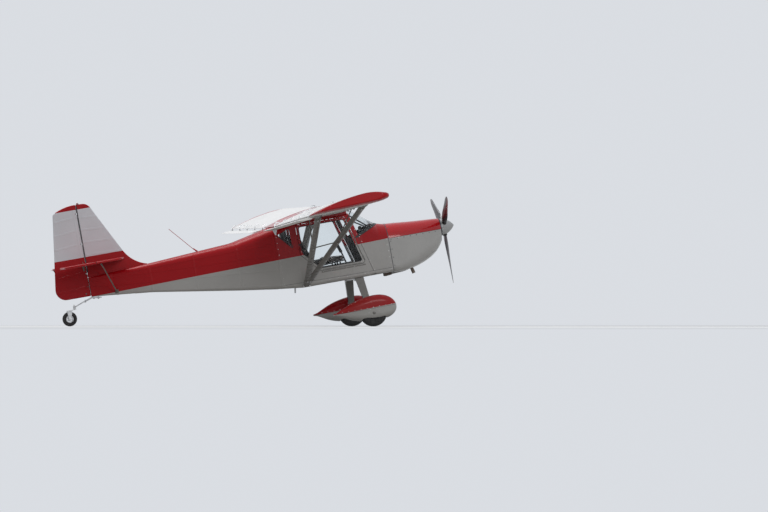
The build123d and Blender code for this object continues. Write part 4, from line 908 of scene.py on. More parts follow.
def outline_points(corners, step, radius):
    """Points round a closed outline with rounded corners; the last point is the first again."""
    points = []
    count = len(corners)
    for i in range(count):
        before, here, after = (Vector(corners[(i + k) % count]) for k in (-1, 0, 1))
        into, out = (here - before).normalized(), (after - here).normalized()
        cut = min(radius, (here - before).length * 0.45, (after - here).length * 0.45)
        start, end = here - into * cut, here + out * cut
        if points:
            steps = max(2, int((start - points[-1]).length / step))
            points += [points[-1].lerp(start, k / steps) for k in range(1, steps)]
        points += [start * (1 - t) ** 2 + here * 2 * t * (1 - t) + end * t ** 2 for t in spread(0, 1, 5)]
    steps = max(2, int((points[0] - points[-1]).length / step))
    return points + [points[-1].lerp(points[0], k / steps) for k in range(1, steps + 1)]


def door_corners(inset):
    low, high, rear = 0.907 + inset, 1.620 - inset, -0.822 + inset
    return [
        (pillar_x(low) - inset, low), (pillar_x(high) - inset, high), (rear, high),
        (rear, 1.180 + inset * 0.4), (-0.570 + inset * 0.4, low),
    ]


def cabin_outside():
    """Seals, strips and screws on the cabin's skin."""
    shell = surface_of("cabin_shell", "boot_cowl", "windscreen", "roof")
    seals, strips, posts, screws = meshes(4)
    # windscreen foot with its screws, then the windscreen's top edge under the wing
    centre = (0.20, 0, 1.441 + (0.20 - 0.369) * BASE_SLOPE)
    forward = Vector((1, 0, BASE_SLOPE)).normalized()
    hits = ring_tape(seals, shell, centre, forward, spread(-1.93, 1.93, 121), 0.034, 0.0026)
    for hit, normal, _ in hits[4::7]:
        fastener(screws, hit + normal * 0.0024, normal, 0.0036, 0.0014)
    ring_tape(seals, shell, (-0.22, 0, 1.689), FORWARD, spread(-1.15, 1.15, 61), 0.016, 0.0024)
    for side in SIDES:
        inward, y = (0, -side, 0), side * 0.4
        # pillar strip, and the seam below it
        pillar = [(pillar_x(z, 0.050), y, z) for z in spread(1.305, 1.655, 22)]
        tape(posts, shell, pillar, inward, 0.030, 0.0018, 0.6)
        fastener_row(screws, shell, pillar[2::4], inward, 0.0042, 0.0034, 0.6)
        seam = [(pillar_x(z, 0.050), y, z) for z in spread(0.770, 1.295, 30)]
        tape(seals, shell, seam, inward, 0.005, 0.0008, 0.6)
        heads = [(x + 0.020, y, z) for x, _, z in seam[1::4]]
        fastener_row(screws, shell, heads, inward, 0.0042, 0.0018, 0.6)
        # sill strip
        sill = line_points((-0.560, y, 0.888), (0.095, y, 0.888), 24)
        tape(strips, shell, sill, inward, 0.022, 0.0022, 0.6)
        fastener_row(screws, shell, sill[1::4], inward, 0.0040, 0.0038, 0.6)
        # screws in front of the fabric
        back = line_points((-1.115, y, 0.78), (-1.115, y, 1.60), 30)
        fastener_row(screws, shell, back[1::3], inward, 0.0042, 0.0018, 0.6)
        # quarter window seal
        window = outline_points([(-1.106, 1.521), (-0.916, 1.598), (-0.905, 1.292)], 0.02, 0.034)
        tape(seals, shell, [(x, y, z) for x, z in window], inward, 0.012, 0.0024, 0.6)
        # lower edge of the cabin side
        chine = line_points((0.48, y, 0.775), (-1.10, y, 0.79), 50)
        tape(seals, shell, chine, inward, 0.004, 0.0006, 0.6)
        heads = [(x, y, z - 0.018) for x, _, z in chine[1::4]]
        fastener_row(screws, shell, heads, inward, 0.0036, 0.0015, 0.6)
        # screws at the firewall and under the belly
        bulkhead = [(0.478, y, z) for z in spread(0.76, 1.19, 6)]
        fastener_row(screws, shell, bulkhead, inward, 0.0060, 0.0024, 0.6)
        belly = line_points((0.44, side * 0.20, 0.72), (-1.08, side * 0.20, 0.72), 12)
        fastener_row(screws, shell, belly, UP, 0.0045, 0.0018, 0.3)
    to_object("cabin_seals", seals, black_plastic)
    to_object("cabin_strips", strips, leg_paint)
    to_object("pillar_strips", posts, red_paint)
    to_object("cabin_screws", screws, zinc)


cabin_outside()

CATCH_ROSE = ((-0.002, 0.013), (0.003, 0.013), (0.004, 0.011), (0.010, 0.008), (0.012, 0.0))
# the catch's lever: height over its pivot, distance from the door and radius
CATCH_LEVER = (
    (0.012, 0.010, 0.004), (0.0, 0.013, 0.0060), (-0.04, 0.014, 0.0052), (-0.085, 0.012, 0.0050),
    (-0.095, 0.008, 0.0035),
)


def door_details(side, node, glass):
    """Gasket, frame screws, edge strips, catch and hinge screws of one door."""
    tree = surface_of(node, glass)
    gasket, strip, screws, catch = meshes(4)
    inward, y = (0, -side, 0), side * 0.4
    pane = [(x, y, z) for x, z in outline_points(door_corners(0.041), 0.025, 0.032)]
    tape(gasket, tree, pane, inward, 0.010, 0.0022, 0.6)
    rim = [(x, y, z) for x, z in outline_points(door_corners(0.024), 0.030, 0.038)]
    fastener_row(screws, tree, rim[::3], inward, 0.0034, 0.0014, 0.6)
    edge = [(pillar_x(z) - 0.0135, y, z) for z in spread(0.955, 1.575, 30)]
    tape(strip, tree, edge, inward, 0.010, 0.0022, 0.6)
    foot = line_points((-0.535, y, 0.9235), (0.070, y, 0.9235), 24)
    tape(strip, tree, foot, inward, 0.010, 0.0020, 0.6)
    # the catch's lever lies along the rear frame
    hit, normal = turned_on(catch, tree, (-0.797, y, 1.33), inward, 0.6, CATCH_ROSE, 20)
    lever = [hit + normal * lift + Vector((0, 0, height)) for height, lift, _ in CATCH_LEVER]
    tube(catch, lever, [radius for _, _, radius in CATCH_LEVER], 10)
    for hinge_x in (-0.200, -0.620):
        for dx in (-0.028, 0.028):
            for dz in (0.0, 0.012):
                fastener(screws, (hinge_x + dx, side * 0.563, 1.607 + dz), (0, side, 0), 0.0032, 0.0018)
    to_object(f"{node}_gasket", gasket, black_plastic, node)
    to_object(f"{node}_strips", strip, leg_paint, node)
    to_object(f"{node}_catch", catch, black_plastic, node)
    to_object(f"{node}_screws", screws, zinc, node)


door_details(-1, "door_right", "door_glass_right")
door_details(1, "door_left", "door_glass_left")


# Wing roots: fairing strips over the joint of wing and roof, and the skylight's frame
def root_details():
    whole = surface_of("wing_right", "wing_left", "roof", "cabin_shell")
    wings = surface_of("wing_right", "wing_left")
    bands, frames, screws = meshes(3)
    # over the joint on top; below it the band keeps outboard of the opened doors
    for direction, tree, middle, width in ((DOWN, whole, 0.578, 0.075), (UP, wings, 0.606, 0.048)):
        for side in SIDES:
            points = [over_wing(-0.012 - 1.09 * i / 36, side * middle) for i in range(37)]
            tape(bands, tree, points, direction, width, 0.0030)
            heads = [p + Vector((0, side * width * 0.29, 0)) for p in points[1::3]]
            fastener_row(screws, tree, heads, direction, 0.0040, 0.0046)
    plan = outline_points([(-0.178, -0.392), (-0.652, -0.392), (-0.652, 0.392), (-0.178, 0.392)], 0.04, 0.05)
    rim = [(x, y, 1.80) for x, y in plan]
    tape(frames, surface_of("roof", "fixed_windows"), rim, DOWN, 0.026, 0.0020)
    fastener_row(screws, surface_of("roof"), rim[::3], DOWN, 0.0036, 0.0036)
    to_object("wing_root_bands", bands, red_paint)
    to_object("skylight_frame", frames, alloy)
    to_object("root_screws", screws, zinc)


root_details()

# Cowling: seams, quarter-turn fasteners, oil door, inlet lips, radiator core, scoop lip and exhaust ring
THRUST_Z = 1.220
INLET_X = 1.3175
PIPE_END = (
    (-0.006, 0.0235), (-0.004, 0.0260), (0.0010, 0.0262), (0.0018, 0.0240), (0.0012, 0.0215),
    (-0.006, 0.0212),
)


def raised_panel(bm, tree, corner, u, v, counts, direction, lift, reach):
    """A panel laid on a curved surface, with its edges turned down to it."""
    corner, u, v = Vector(corner), Vector(u), Vector(v)
    rows = []
    for su in spread(0, 1, counts[0] + 1):
        row = []
        for sv in spread(0, 1, counts[1] + 1):
            hit, normal = drop(tree, corner + u * su + v * sv, direction, reach)
            row.append(bm.verts.new(hit + normal * lift))
        rows.append(row)
    skin(bm, rows)
    border = rows[0] + [r[-1] for r in rows[1:]] + rows[-1][-2::-1] + [r[0] for r in rows[-2:0:-1]]
    feet = []
    for vert in border:
        hit, normal = drop(tree, vert.co, direction, reach)
        feet.append(bm.verts.new(hit - normal * 0.0004))
    skin(bm, (border, feet), closed=True)


def front_ring(y, z, half_width, half_height, angles):
    """Points round an opening in the cowl's front face."""
    return [(INLET_X, y + half_width * math.cos(a), z + half_height * math.sin(a)) for a in angles]


def cowl_details():
    """Seams, studs, the oil door, the lips of the openings and the scoop's louvres."""
    tree = surface_of("upper_cowl", "lower_cowl")
    seams, studs, panels, lips = meshes(4)
    for side in SIDES:
        inward, y = (0, -side, 0), side * 0.3
        split = line_points((0.508, y, 1.195), (1.300, y, 1.195), 50)
        tape(seams, tree, split, inward, 0.0045, 0.0006, 0.6)
        row = [(x, y, 1.177) for x, _, _ in split[2::6]] + [(0.530, y, z) for z in spread(0.80, 1.15, 4)]
        fastener_row(studs, tree, row, inward, 0.0070, 0.0026, 0.6)
    ring_tape(seams, tree, (0.5085, 0, 1.06), UP, spread(-2.6, 2.6, 150), 0.0045, 0.0006)
    hits = ring_tape(panels, tree, (0.512, 0, 1.16), UP, spread(-1.2, 1.2, 61), 0.004, 0.0004)
    for hit, _, direction in hits[3::9]:
        place, face = drop(tree, hit + Vector((0.020, 0, 0)), direction, 0.3)
        fastener(studs, place, face, 0.0070, 0.0026)
    # oil door on the upper half, its hinge and its two studs
    raised_panel(panels, tree, (0.70, 0.10, 1.5), (0.15, 0, 0), (0, 0.13, 0), (10, 12), DOWN, 0.0018, 0.5)
    hinge = [drop(tree, (0.697, y, 1.5), DOWN, 0.5)[0] for y in spread(0.103, 0.227, 8)]
    tube(studs, [point + Vector((0, 0, 0.002)) for point in hinge], 0.0028, 8)
    fastener_row(studs, tree, [(0.836, 0.125, 1.5), (0.836, 0.205, 1.5)], DOWN, 0.0070, 0.0042, 0.5)
    # lips of the two inlets, of the chin slot and of the opening for the shaft
    for y in (-0.152, 0.152):
        tube(lips, front_ring(y, 1.215, 0.0205, 0.0465, around(32)), 0.0034, 8, closed=True)
    chin = []
    for end, start in ((1, -math.pi / 2), (-1, math.pi / 2)):
        chin += front_ring(end * 0.073, 1.066, 0.0225, 0.0225, spread(start, start + math.pi, 13))
    tube(lips, chin, 0.0034, 8, closed=True)
    tube(lips, front_ring(0, THRUST_Z, 0.0555, 0.0555, around(40)), 0.0026, 8, closed=True)
    # scoop outlet: louvres each side of the heater box, and a rolled lip
    for side in SIDES:
        for z in spread(0.6810, 0.7070, 5):
            rear, front = (0.5145, z), (0.5100, z - 0.0030)
            outline = [(x, side * y, height) for (x, height), y in (
                (rear, 0.0745), (rear, 0.127), (front, 0.127), (front, 0.0745),
            )]
            plate(lips, outline, (0, 0, 0.0012))
    lip = [(0.5148, y, z) for y, z in ((-0.1285, 0.708), (-0.1285, 0.678), (0.1285, 0.678), (0.1285, 0.708))]
    tube(lips, lip, 0.0026, 8)
    to_object("cowl_seams", seams, black_plastic)
    to_object("cowl_studs", studs, dark_steel)
    to_object("cowl_panels", panels, cowl_red)
    to_object("cowl_lips", lips, alloy)


def radiator_core():
    """The finned core behind the chin slot."""
    core = bmesh.new()
    soft_box(core, (1.225, -0.105, 1.030), (1.245, 0.105, 1.100), 0.002)
    fin = ((1.246, 1.036), (1.258, 1.036), (1.258, 1.094), (1.246, 1.094))
    for y in spread(-0.100, 0.100, 51):
        plate(core, [(x, y, z) for x, z in fin], (0, 0.0007, 0))
    for z in spread(1.042, 1.090, 5):
        tube(core, [(1.252, -0.104, z), (1.252, 0.104, z)], 0.0022, 8)
    to_object("radiator_core", core, dark_steel)


def exhaust_end():
    """The rolled end of the exhaust and the clamp round it."""
    pipe = bmesh.new()
    start, end = Vector((0.800, -0.095, 0.760)), Vector((0.832, -0.095, 0.637))
    along = (end - start).normalized()
    turned_piece(pipe, PIPE_END, end, along, 32)
    clamp = end - along * 0.035
    turned_piece(pipe, sleeve(0.007, 0.0240, 0.0258), clamp, along, 32)
    bolt(pipe, clamp + Vector((0, -0.029, 0)), (0, -1, 0), 0.006, 0.006)
    to_object("exhaust_ring", pipe, burnt_steel)


radiator_core()
cowl_details()
exhaust_end()

# Propeller: root boots, edge strips, the spinner's rear band and its screws
BLADE_BOOT = (
    (0.094, 0.024), (0.094, 0.0345), (0.112, 0.0350), (0.118, 0.0335), (0.130, 0.0300), (0.132, 0.0260),
)
SPINNER_BAND = ((-0.003, 0.05), (-0.003, 0.1215), (-0.001, 0.1252), (0.0135, 0.1252), (0.0150, 0.1236))


def outwards(degrees):
    """Unit vector at right angles to the shaft."""
    a = math.radians(degrees)
    return Vector((0, math.sin(a), math.cos(a)))


def blade_edge(hub, out, across):
    """Points a little behind one blade's leading edge, from its root to its tip."""
    points = []
    for radius in spread(0.34, 0.81, 26):
        inboard = max(0, min(1, (radius - 0.30) / 0.26))
        outboard = max(0, (radius - 0.56) / 0.24)
        chord = 0.104 - 0.012 * inboard - 0.040 * outboard
        pitch = math.radians(36 - 13 * inboard - 6 * outboard)
        way = across * math.cos(pitch) + Vector(FORWARD) * math.sin(pitch)
        points.append(hub + out * radius + way * (chord / 2 - 0.009))
    return points


def propeller_details():
    boots, band, screws, edges = meshes(4)
    hub = Vector((1.395, 0, THRUST_Z))
    blade_tree = surface_of("propeller")
    face_angle = math.radians(28)
    for degrees in (180, 60, 300):
        out = outwards(degrees)
        across = Vector(FORWARD).cross(out)
        turned_piece(boots, BLADE_BOOT, hub, out, 32)
        front = blade_edge(hub, out, across)
        normal = across * math.sin(face_angle) - Vector(FORWARD) * math.cos(face_angle)
        for direction in (normal, -normal):
            tape(edges, blade_tree, front, direction, 0.013, 0.0006, 0.1)
    to_object("blade_boots", boots, tyre_rubber, "propeller")
    to_object("blade_edge_strips", edges, steel, "propeller")
    turned_piece(band, SPINNER_BAND, (1.335, 0, THRUST_Z), FORWARD, 96)
    to_object("spinner_band", band, dark_steel, "propeller")
    spinner_tree = surface_of("spinner")
    for i in range(12):
        direction = -outwards(15 + 30 * i)
        fastener_row(screws, spinner_tree, [(1.357, 0, THRUST_Z)], direction, 0.0048, 0.0018)
    to_object("spinner_screws", screws, zinc, "propeller")


propeller_details()

# Wheels: ribbed tyres, hub bolts, valves, spat seams and screws, axle nuts, leg clamps and brake lines
HALF_TRACK = 1.050
WHEEL_RADIUS = 0.195
TYRE_SHOULDER = 0.048
TAILWHEEL_X, TAILWHEEL_Z = -4.195, 0.851


def tyre_profile(radius, half_width, bore, grooves, depth, shoulder):
    """Section of a tyre as (along the axle, radius) pairs, open at its bore."""
    side_top = radius - shoulder
    wall = bore + 0.010
    points = [(-half_width + 0.010, bore), (-half_width + 0.001, wall)]
    for share in spread(0, 1, 4)[1:]:
        points.append((-half_width + 0.0015 * (1 - share), wall + (side_top - wall) * share))
    for a in spread(0, math.pi / 2, 9)[1:]:
        points.append((-half_width + shoulder * (1 - math.cos(a)), side_top + shoulder * math.sin(a)))
    other_side = [(-x, r) for x, r in reversed(points)]
    groove = ((-0.0028, 0), (-0.0016, depth), (0.0016, depth), (0.0028, 0))
    for centre in grooves:
        points += [(centre + x, radius - sunk) for x, sunk in groove]
    return points + other_side


def tyre(name, body, node, centre, half_width, radius, bore, grooves, depth, shoulder):
    """A tyre with grooves and with raised rings on its walls, shown in place of the CAD one."""
    bm = bmesh.new()
    profile = tyre_profile(radius, half_width, bore, grooves, depth, shoulder)
    turned_piece(bm, profile + profile[:1], centre, ACROSS, 96)
    outer_ring = radius - shoulder - 0.006
    for side in SIDES:
        y = side * (half_width - 0.0006)
        for ring in (outer_ring, (outer_ring + bore) / 2):
            circle = [Vector((ring * math.cos(a), y, ring * math.sin(a))) for a in around(72)]
            tube(bm, [Vector(centre) + point for point in circle], 0.0016, 6, closed=True)
    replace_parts(to_object(name, bm, tyre_rubber, body), node)


HUB_NUT = ((0.050, 0.026), (0.0545, 0.026), (0.056, 0.024), (0.056, 0.0165))
for side, word in ((-1, "right"), (1, "left")):
    centre = Vector((0, side * HALF_TRACK, WHEEL_RADIUS))
    tyre(
        f"tyre_ribbed_{word}", f"wheel_{word}", f"tyre_{word}", centre, 0.0725, WHEEL_RADIUS, 0.080,
        (-0.018, -0.006, 0.006, 0.018), 0.0032, TYRE_SHOULDER,
    )
    hub = bmesh.new()
    for face in SIDES:
        for a in around(6, math.radians(30)):
            place = centre + Vector((0.040 * math.cos(a), face * 0.0155, 0.040 * math.sin(a)))
            bolt(hub, place, (0, face, 0), 0.0060, 0.0060)
        turned_piece(hub, HUB_NUT, centre, (0, face, 0), 24)
    valve = [centre + Vector((x, side * y, 0)) for x, y in ((0.062, 0.010), (0.058, 0.040), (0.056, 0.052))]
    tube(hub, valve, 0.0035, 10)
    to_object(f"hub_bolts_{word}", hub, zinc, f"wheel_{word}")

tyre(
    "tailwheel_ribbed", "tailwheel", "tailwheel_tyre", (TAILWHEEL_X, 0, TAILWHEEL_Z), 0.031, 0.105, 0.052,
    (-0.0045, 0.0045), 0.0022, 0.022,
)


def spat_details():
    """Seams and screws on both sides of each spat, and the axle nut on its outer side."""
    tree = surface_of("wheel_fairings")
    seams, screws, metalwork = meshes(3)
    washer = ((-0.002, 0.024), (0.002, 0.024), (0.003, 0.022), (0.003, 0.0))
    for side in SIDES:
        y = side * HALF_TRACK
        for face in SIDES:
            inward = (0, -face, 0)
            seam = line_points((0.325, y, 0.262), (-0.545, y, 0.259), 60)
            tape(seams, tree, seam, inward, 0.0035, 0.0006, 0.25)
            above = [(x, y, z + 0.016) for x, _, z in seam[4::6]]
            fastener_row(screws, tree, above, inward, 0.0042, 0.0018, 0.25)
            if face == side:
                hit, normal = turned_on(metalwork, tree, (0, y, WHEEL_RADIUS), inward, 0.25, washer, 28)
                bolt(metalwork, hit + normal * 0.003, normal, 0.0115, 0.009)
            arc = [
                (0.075 * math.cos(a), y, WHEEL_RADIUS + 0.075 * math.sin(a))
                for a in spread(0.2, math.pi - 0.2, 5)
            ]
            fastener_row(screws, tree, arc, inward, 0.0045, 0.0020, 0.25)
    to_object("spat_seams", seams, black_plastic)
    to_object("spat_screws", screws, zinc)
    to_object("axle_nuts", metalwork, leg_paint)


spat_details()


def spat_guards():
    """Carries each spat's belly on to the edge of its tyre, ahead of the wheel opening and behind it."""
    tree = surface_of("wheel_fairings")
    edge_x, step, overlap = 0.2115, 0.012, 0.0060
    clearance, tread_half = 0.012, 0.0245
    flat_slope, bend_length = 0.05, 0.020
    thickness, gap = 0.0030, 0.0004
    start_x = edge_x + overlap
    bm = bmesh.new()
    for side in SIDES:
        for end in SIDES:
            rows = []
            for y in spread(-0.086, 0.086, 25):
                near, ahead = (
                    drop(tree, (end * x, side * HALF_TRACK + y, 0.0), UP, 0.12)[0]
                    for x in (start_x, start_x + step)
                )
                slope = (ahead.z - near.z) / step
                # how far the tyre reaches at this y, with the clearance
                past_tread = min(max(abs(y) - tread_half, 0), TYRE_SHOULDER)
                rounding = math.sqrt(TYRE_SHOULDER ** 2 - past_tread ** 2)
                swept = clearance + WHEEL_RADIUS - TYRE_SHOULDER + rounding
                last_x = math.sqrt(swept ** 2 - (WHEEL_RADIUS - near.z) ** 2)
                row = []
                for x in spread(start_x, min(last_x, edge_x), 9):
                    run = start_x - x
                    bend = (slope - flat_slope) * bend_length * (1 - math.exp(-run / bend_length))
                    row.append(Vector((end * x, near.y, near.z - flat_slope * run - bend - gap)))
                rows.append(row)
            outer = [[bm.verts.new(p) for p in row] for row in rows]
            inner = [[bm.verts.new(p + Vector((0, 0, thickness))) for p in row] for row in rows]
            skin(bm, outer)
            skin(bm, inner)
            for k in (0, -1):
                skin(bm, (outer[k], inner[k]))
                skin(bm, ([row[k] for row in outer], [row[k] for row in inner]))
    to_object("spat_guards", bm, spat_paint)


spat_guards()


def leg_details():
    """Clamp plates under the belly, their bolts, and a brake line clipped along each leg."""
    leg = surface_of("main_gear_leg")
    metalwork, lines = meshes(2)
    for side in SIDES:
        soft_box(metalwork, (-0.105, side * 0.455, 0.681), (0.045, side * 0.505, 0.691), 0.002)
        for x in (-0.093, 0.033):
            tube(metalwork, [(x, side * 0.480, 0.690), (x, side * 0.480, 0.714)], 0.006, 10)
            bolt(metalwork, (x, side * 0.480, 0.681), DOWN, 0.010, 0.008)
        # the line lies on the rear edge of the leg
        run = [Vector((-0.068, side * 0.520, 0.700))]
        for share in spread(0.06, 0.97, 12):
            y = 0.524 + 0.385 * share
            run.append(Vector((-0.060 + 0.030 * share, side * y, 0.706 - 0.484 * share)))
        rear = []
        for point in run:
            hit = drop(leg, point - Vector((0.2, 0, 0)), FORWARD, 0.4)[0]
            rear.append(point if hit is None else hit - Vector((0.0045, 0, 0)))
        tube(lines, rear, 0.0032, 8)
        for k in (3, 6, 9):
            turned_piece(metalwork, sleeve(0.005, 0.0036, 0.0052), rear[k], rear[k] - rear[k - 1], 12)
    to_object("leg_clamps", metalwork, alloy)
    to_object("brake_lines", lines, black_plastic)


leg_details()

# Seats: padded cushions swollen by a cloth simulation, with sewn channels, piping, frames and belts
SEAT_Y = 0.262
BACK_LOW, BACK_HIGH = Vector((-0.628, 0, 1.085)), Vector((-0.806, 0, 1.500))
ALONG_BACK = (BACK_HIGH - BACK_LOW).normalized()
BACK_FACE = Vector((0.925, 0, 0.379)).normalized()
CUSHION_CHANNEL_YS = (-0.105, -0.035, 0.035, 0.105)
BACK_CHANNEL_YS = (-0.095, -0.032, 0.032, 0.095)
HALF = 0.198
CUSHION_CORNERS = (
    (-0.592, -HALF, 1.001), (-0.182, -HALF, 1.024), (-0.182, HALF, 1.024), (-0.592, HALF, 1.001),
    (-0.592, -HALF, 1.048), (-0.182, -HALF, 1.068), (-0.182, HALF, 1.068), (-0.592, HALF, 1.048),
)
BACK_CORNERS = (
    (-0.692, -HALF, 1.040), (-0.634, -HALF, 1.068), (-0.634, HALF, 1.068), (-0.692, HALF, 1.040),
    (-0.846, -0.165, 1.478), (-0.808, -0.165, 1.492), (-0.808, 0.165, 1.492), (-0.846, 0.165, 1.478),
)
CLOTH_FRAMES = 20


def cushion_blank(corners, bevel, voxel):
    """A closed remeshed blank, still in the level frame."""
    bm = bmesh.new()
    soft_block(bm, corners, bevel, 4)
    mesh = bpy.data.meshes.new("cushion_blank")
    bm.to_mesh(mesh)
    bm.free()
    obj = bpy.data.objects.new("cushion_blank", mesh)
    scene.collection.objects.link(obj)
    remesh = obj.modifiers.new("remesh", "REMESH")
    remesh.mode = "VOXEL"
    remesh.voxel_size = voxel
    apply_modifiers(obj)
    return obj


def apply_modifiers(obj):
    graph = bpy.context.evaluated_depsgraph_get()
    result = bpy.data.meshes.new_from_object(obj.evaluated_get(graph))
    obj.modifiers.clear()
    obj.data = result


def swell(obj, pressure, cap):
    """Inflates the blank with cloth pressure and holds every point within cap of where it began."""
    start = [v.co.copy() for v in obj.data.vertices]
    cloth_mod = obj.modifiers.new("cloth", "CLOTH")
    settings = cloth_mod.settings
    settings.quality = 6
    settings.mass = 0.3
    settings.tension_stiffness = 12
    settings.compression_stiffness = 12
    settings.shear_stiffness = 6
    settings.bending_stiffness = 0.6
    settings.use_pressure = True
    settings.uniform_pressure_force = pressure
    settings.effector_weights.gravity = 0
    cloth_mod.point_cache.frame_start = 1
    cloth_mod.point_cache.frame_end = CLOTH_FRAMES
    for step in range(1, CLOTH_FRAMES + 1):
        scene.frame_set(step)
    apply_modifiers(obj)
    scene.frame_set(1)
    for vertex, origin in zip(obj.data.vertices, start):
        move = vertex.co - origin
        if move.length > cap:
            vertex.co = origin + move.normalized() * cap


def sew_channels(mesh, face_normal, lines, depth, width):
    """Presses sewn channels into the face: each line is a point and a direction in that face."""
    for vertex in mesh.vertices:
        if vertex.normal.dot(face_normal) < 0.35:
            continue
        for point, direction in lines:
            offset = vertex.co - point
            across = offset - direction * offset.dot(direction)
            across -= face_normal * across.dot(face_normal)
            vertex.co -= face_normal * depth * math.exp(-((across.length / width) ** 2))
    mesh.update()


def pads_for_both_seats(name, corners, face, lines):
    """One simulated pad, used on both seats; gives their surfaces and the first one's object."""
    blank = cushion_blank(corners, 0.016, 0.006)
    swell(blank, 4.0, 0.011)
    sew_channels(blank.data, face, lines, 0.0065, 0.0085)
    trees, pads = [], []
    for seat_y, word in ((-SEAT_Y, "right"), (SEAT_Y, "left")):
        bm = bmesh.new()
        bm.from_mesh(blank.data)
        bmesh.ops.translate(bm, verts=bm.verts, vec=(0, seat_y, 0))
        trees.append(BVHTree.FromBMesh(bm))
        obj = to_object(f"{name}_{word}", bm, seat_cloth, sharp=70)
        pads.append(obj)
    bpy.data.objects.remove(blank)
    return trees, pads[0]


def piping_and_stitches(bm, seat_y, base_tree, back_tree):
    """Piping round the cushion's upper rim and the back's front rim, and stitches along the channels."""
    loop = []
    rim = outline_points([(-0.180, -0.196), (-0.594, -0.196), (-0.594, 0.196), (-0.180, 0.196)], 0.02, 0.03)
    for x, y in rim[:-1]:
        hit = drop(base_tree, (x * 0.985 - 0.006, seat_y + y * 0.955, 1.06), DOWN, 0.2)[0]
        if hit is not None:
            loop.append(hit + Vector((0, 0, -0.001)))
    tube(bm, loop, 0.0030, 8, closed=True)
    loop = []
    rim = outline_points([(0.012, -0.188), (0.448, -0.158), (0.448, 0.158), (0.012, 0.188)], 0.02, 0.03)
    for height, y in rim[:-1]:
        point = BACK_LOW + ALONG_BACK * height + Vector((0, seat_y + y * 0.965, 0))
        hit = drop(back_tree, point, -BACK_FACE, 0.2)[0]
        if hit is not None:
            loop.append(hit - BACK_FACE * 0.001)
    tube(bm, loop, 0.0030, 8, closed=True)
    for y in CUSHION_CHANNEL_YS:
        for k in range(24):
            hit = drop(base_tree, (-0.235 - 0.0132 * k, seat_y + y + 0.009, 1.06), DOWN, 0.2)[0]
            if hit is not None:
                stitch = [hit + Vector((dx, 0, dz)) for dx, dz in ((-0.0040, 0), (0, 0.0010), (0.0040, 0))]
                tube(bm, stitch, 0.0009, 5)


def seat_frame(bm, seat_y):
    """Bent tubes with legs that stand in drilled rails."""
    for side in SIDES:
        y = seat_y + side * 0.205
        bend = [
            (-0.185, y, 1.004), (-0.40, y, 0.990), (-0.585, y, 0.978), (-0.650, y, 0.985), (-0.695, y, 1.012),
            (-0.742, y - side * 0.004, 1.120), (-0.800, y - side * 0.014, 1.290),
            (-0.862, y - side * 0.030, 1.468),
        ]
        tube(bm, bend, 0.0110, 14)
        rail_y = seat_y + side * 0.150
        soft_box(bm, (-0.640, rail_y - 0.0100, 0.7285), (-0.210, rail_y + 0.0100, 0.7500), 0.002)
        for x in (-0.610, -0.250):
            tube(bm, [(x, rail_y, 0.745), (x, rail_y, 0.985)], 0.0115, 14)
            collar = ((-0.010, 0.012), (-0.010, 0.016), (0.012, 0.016), (0.012, 0.012))
            turned_piece(bm, collar, (x, rail_y, 0.765), UP, 16)
            bolt(bm, (x, rail_y + side * 0.016, 0.768), (0, side, 0), 0.006, 0.005)
        for k in range(9):
            fastener(bm, (-0.60 + k * 0.045, rail_y, 0.7500), UP, 0.0045, 0.0010)
    top = [(-0.862, seat_y + y, 1.468 + 0.018 * (1 - (y / 0.175) ** 2)) for y in spread(-0.175, 0.175, 12)]
    tube(bm, top, 0.0110, 14)
    for x, z in ((-0.560, 0.975), (-0.220, 0.997)):
        tube(bm, [(x, seat_y - 0.200, z), (x, seat_y + 0.200, z)], 0.0095, 12)


def seat_belts(belts, buckles, seat_y, base_tree, back_tree):
    """Two shoulder straps with adjusters, a lap strap and the buckle."""
    for side in SIDES:
        strap = [
            BACK_LOW + ALONG_BACK * (0.430 - 0.395 * t) + Vector((0, seat_y + side * (0.075 - 0.035 * t), 0))
            for t in spread(0, 1, 26)
        ]
        tape(belts, back_tree, strap, -BACK_FACE, 0.044, 0.0030, 0.2)
        lap = [(-0.545 + 0.135 * t, seat_y + side * (0.186 - 0.150 * t), 1.06) for t in spread(0, 1, 22)]
        tape(belts, base_tree, lap, DOWN, 0.046, 0.0032, 0.2)
        hit = drop(back_tree, strap[7], -BACK_FACE, 0.2)[0]
        corners = [
            hit + Vector(ACROSS) * across + ALONG_BACK * along + BACK_FACE * lift
            for lift in (0.002, 0.0065)
            for across, along in ((-0.026, -0.013), (0.026, -0.013), (0.026, 0.013), (-0.026, 0.013))
        ]
        soft_block(buckles, corners, 0.0015, 2)
    x, _, z = drop(base_tree, (-0.405, seat_y, 1.06), DOWN, 0.2)[0]
    low, high = (x - 0.030, seat_y - 0.034, z + 0.002), (x + 0.030, seat_y + 0.034, z + 0.016)
    soft_box(buckles, low, high, 0.004, 3)
    button = ((0.0, 0.016), (0.008, 0.016), (0.010, 0.013), (0.010, 0.0))
    turned_piece(buckles, button, (x, seat_y, z + 0.015), UP, 24)


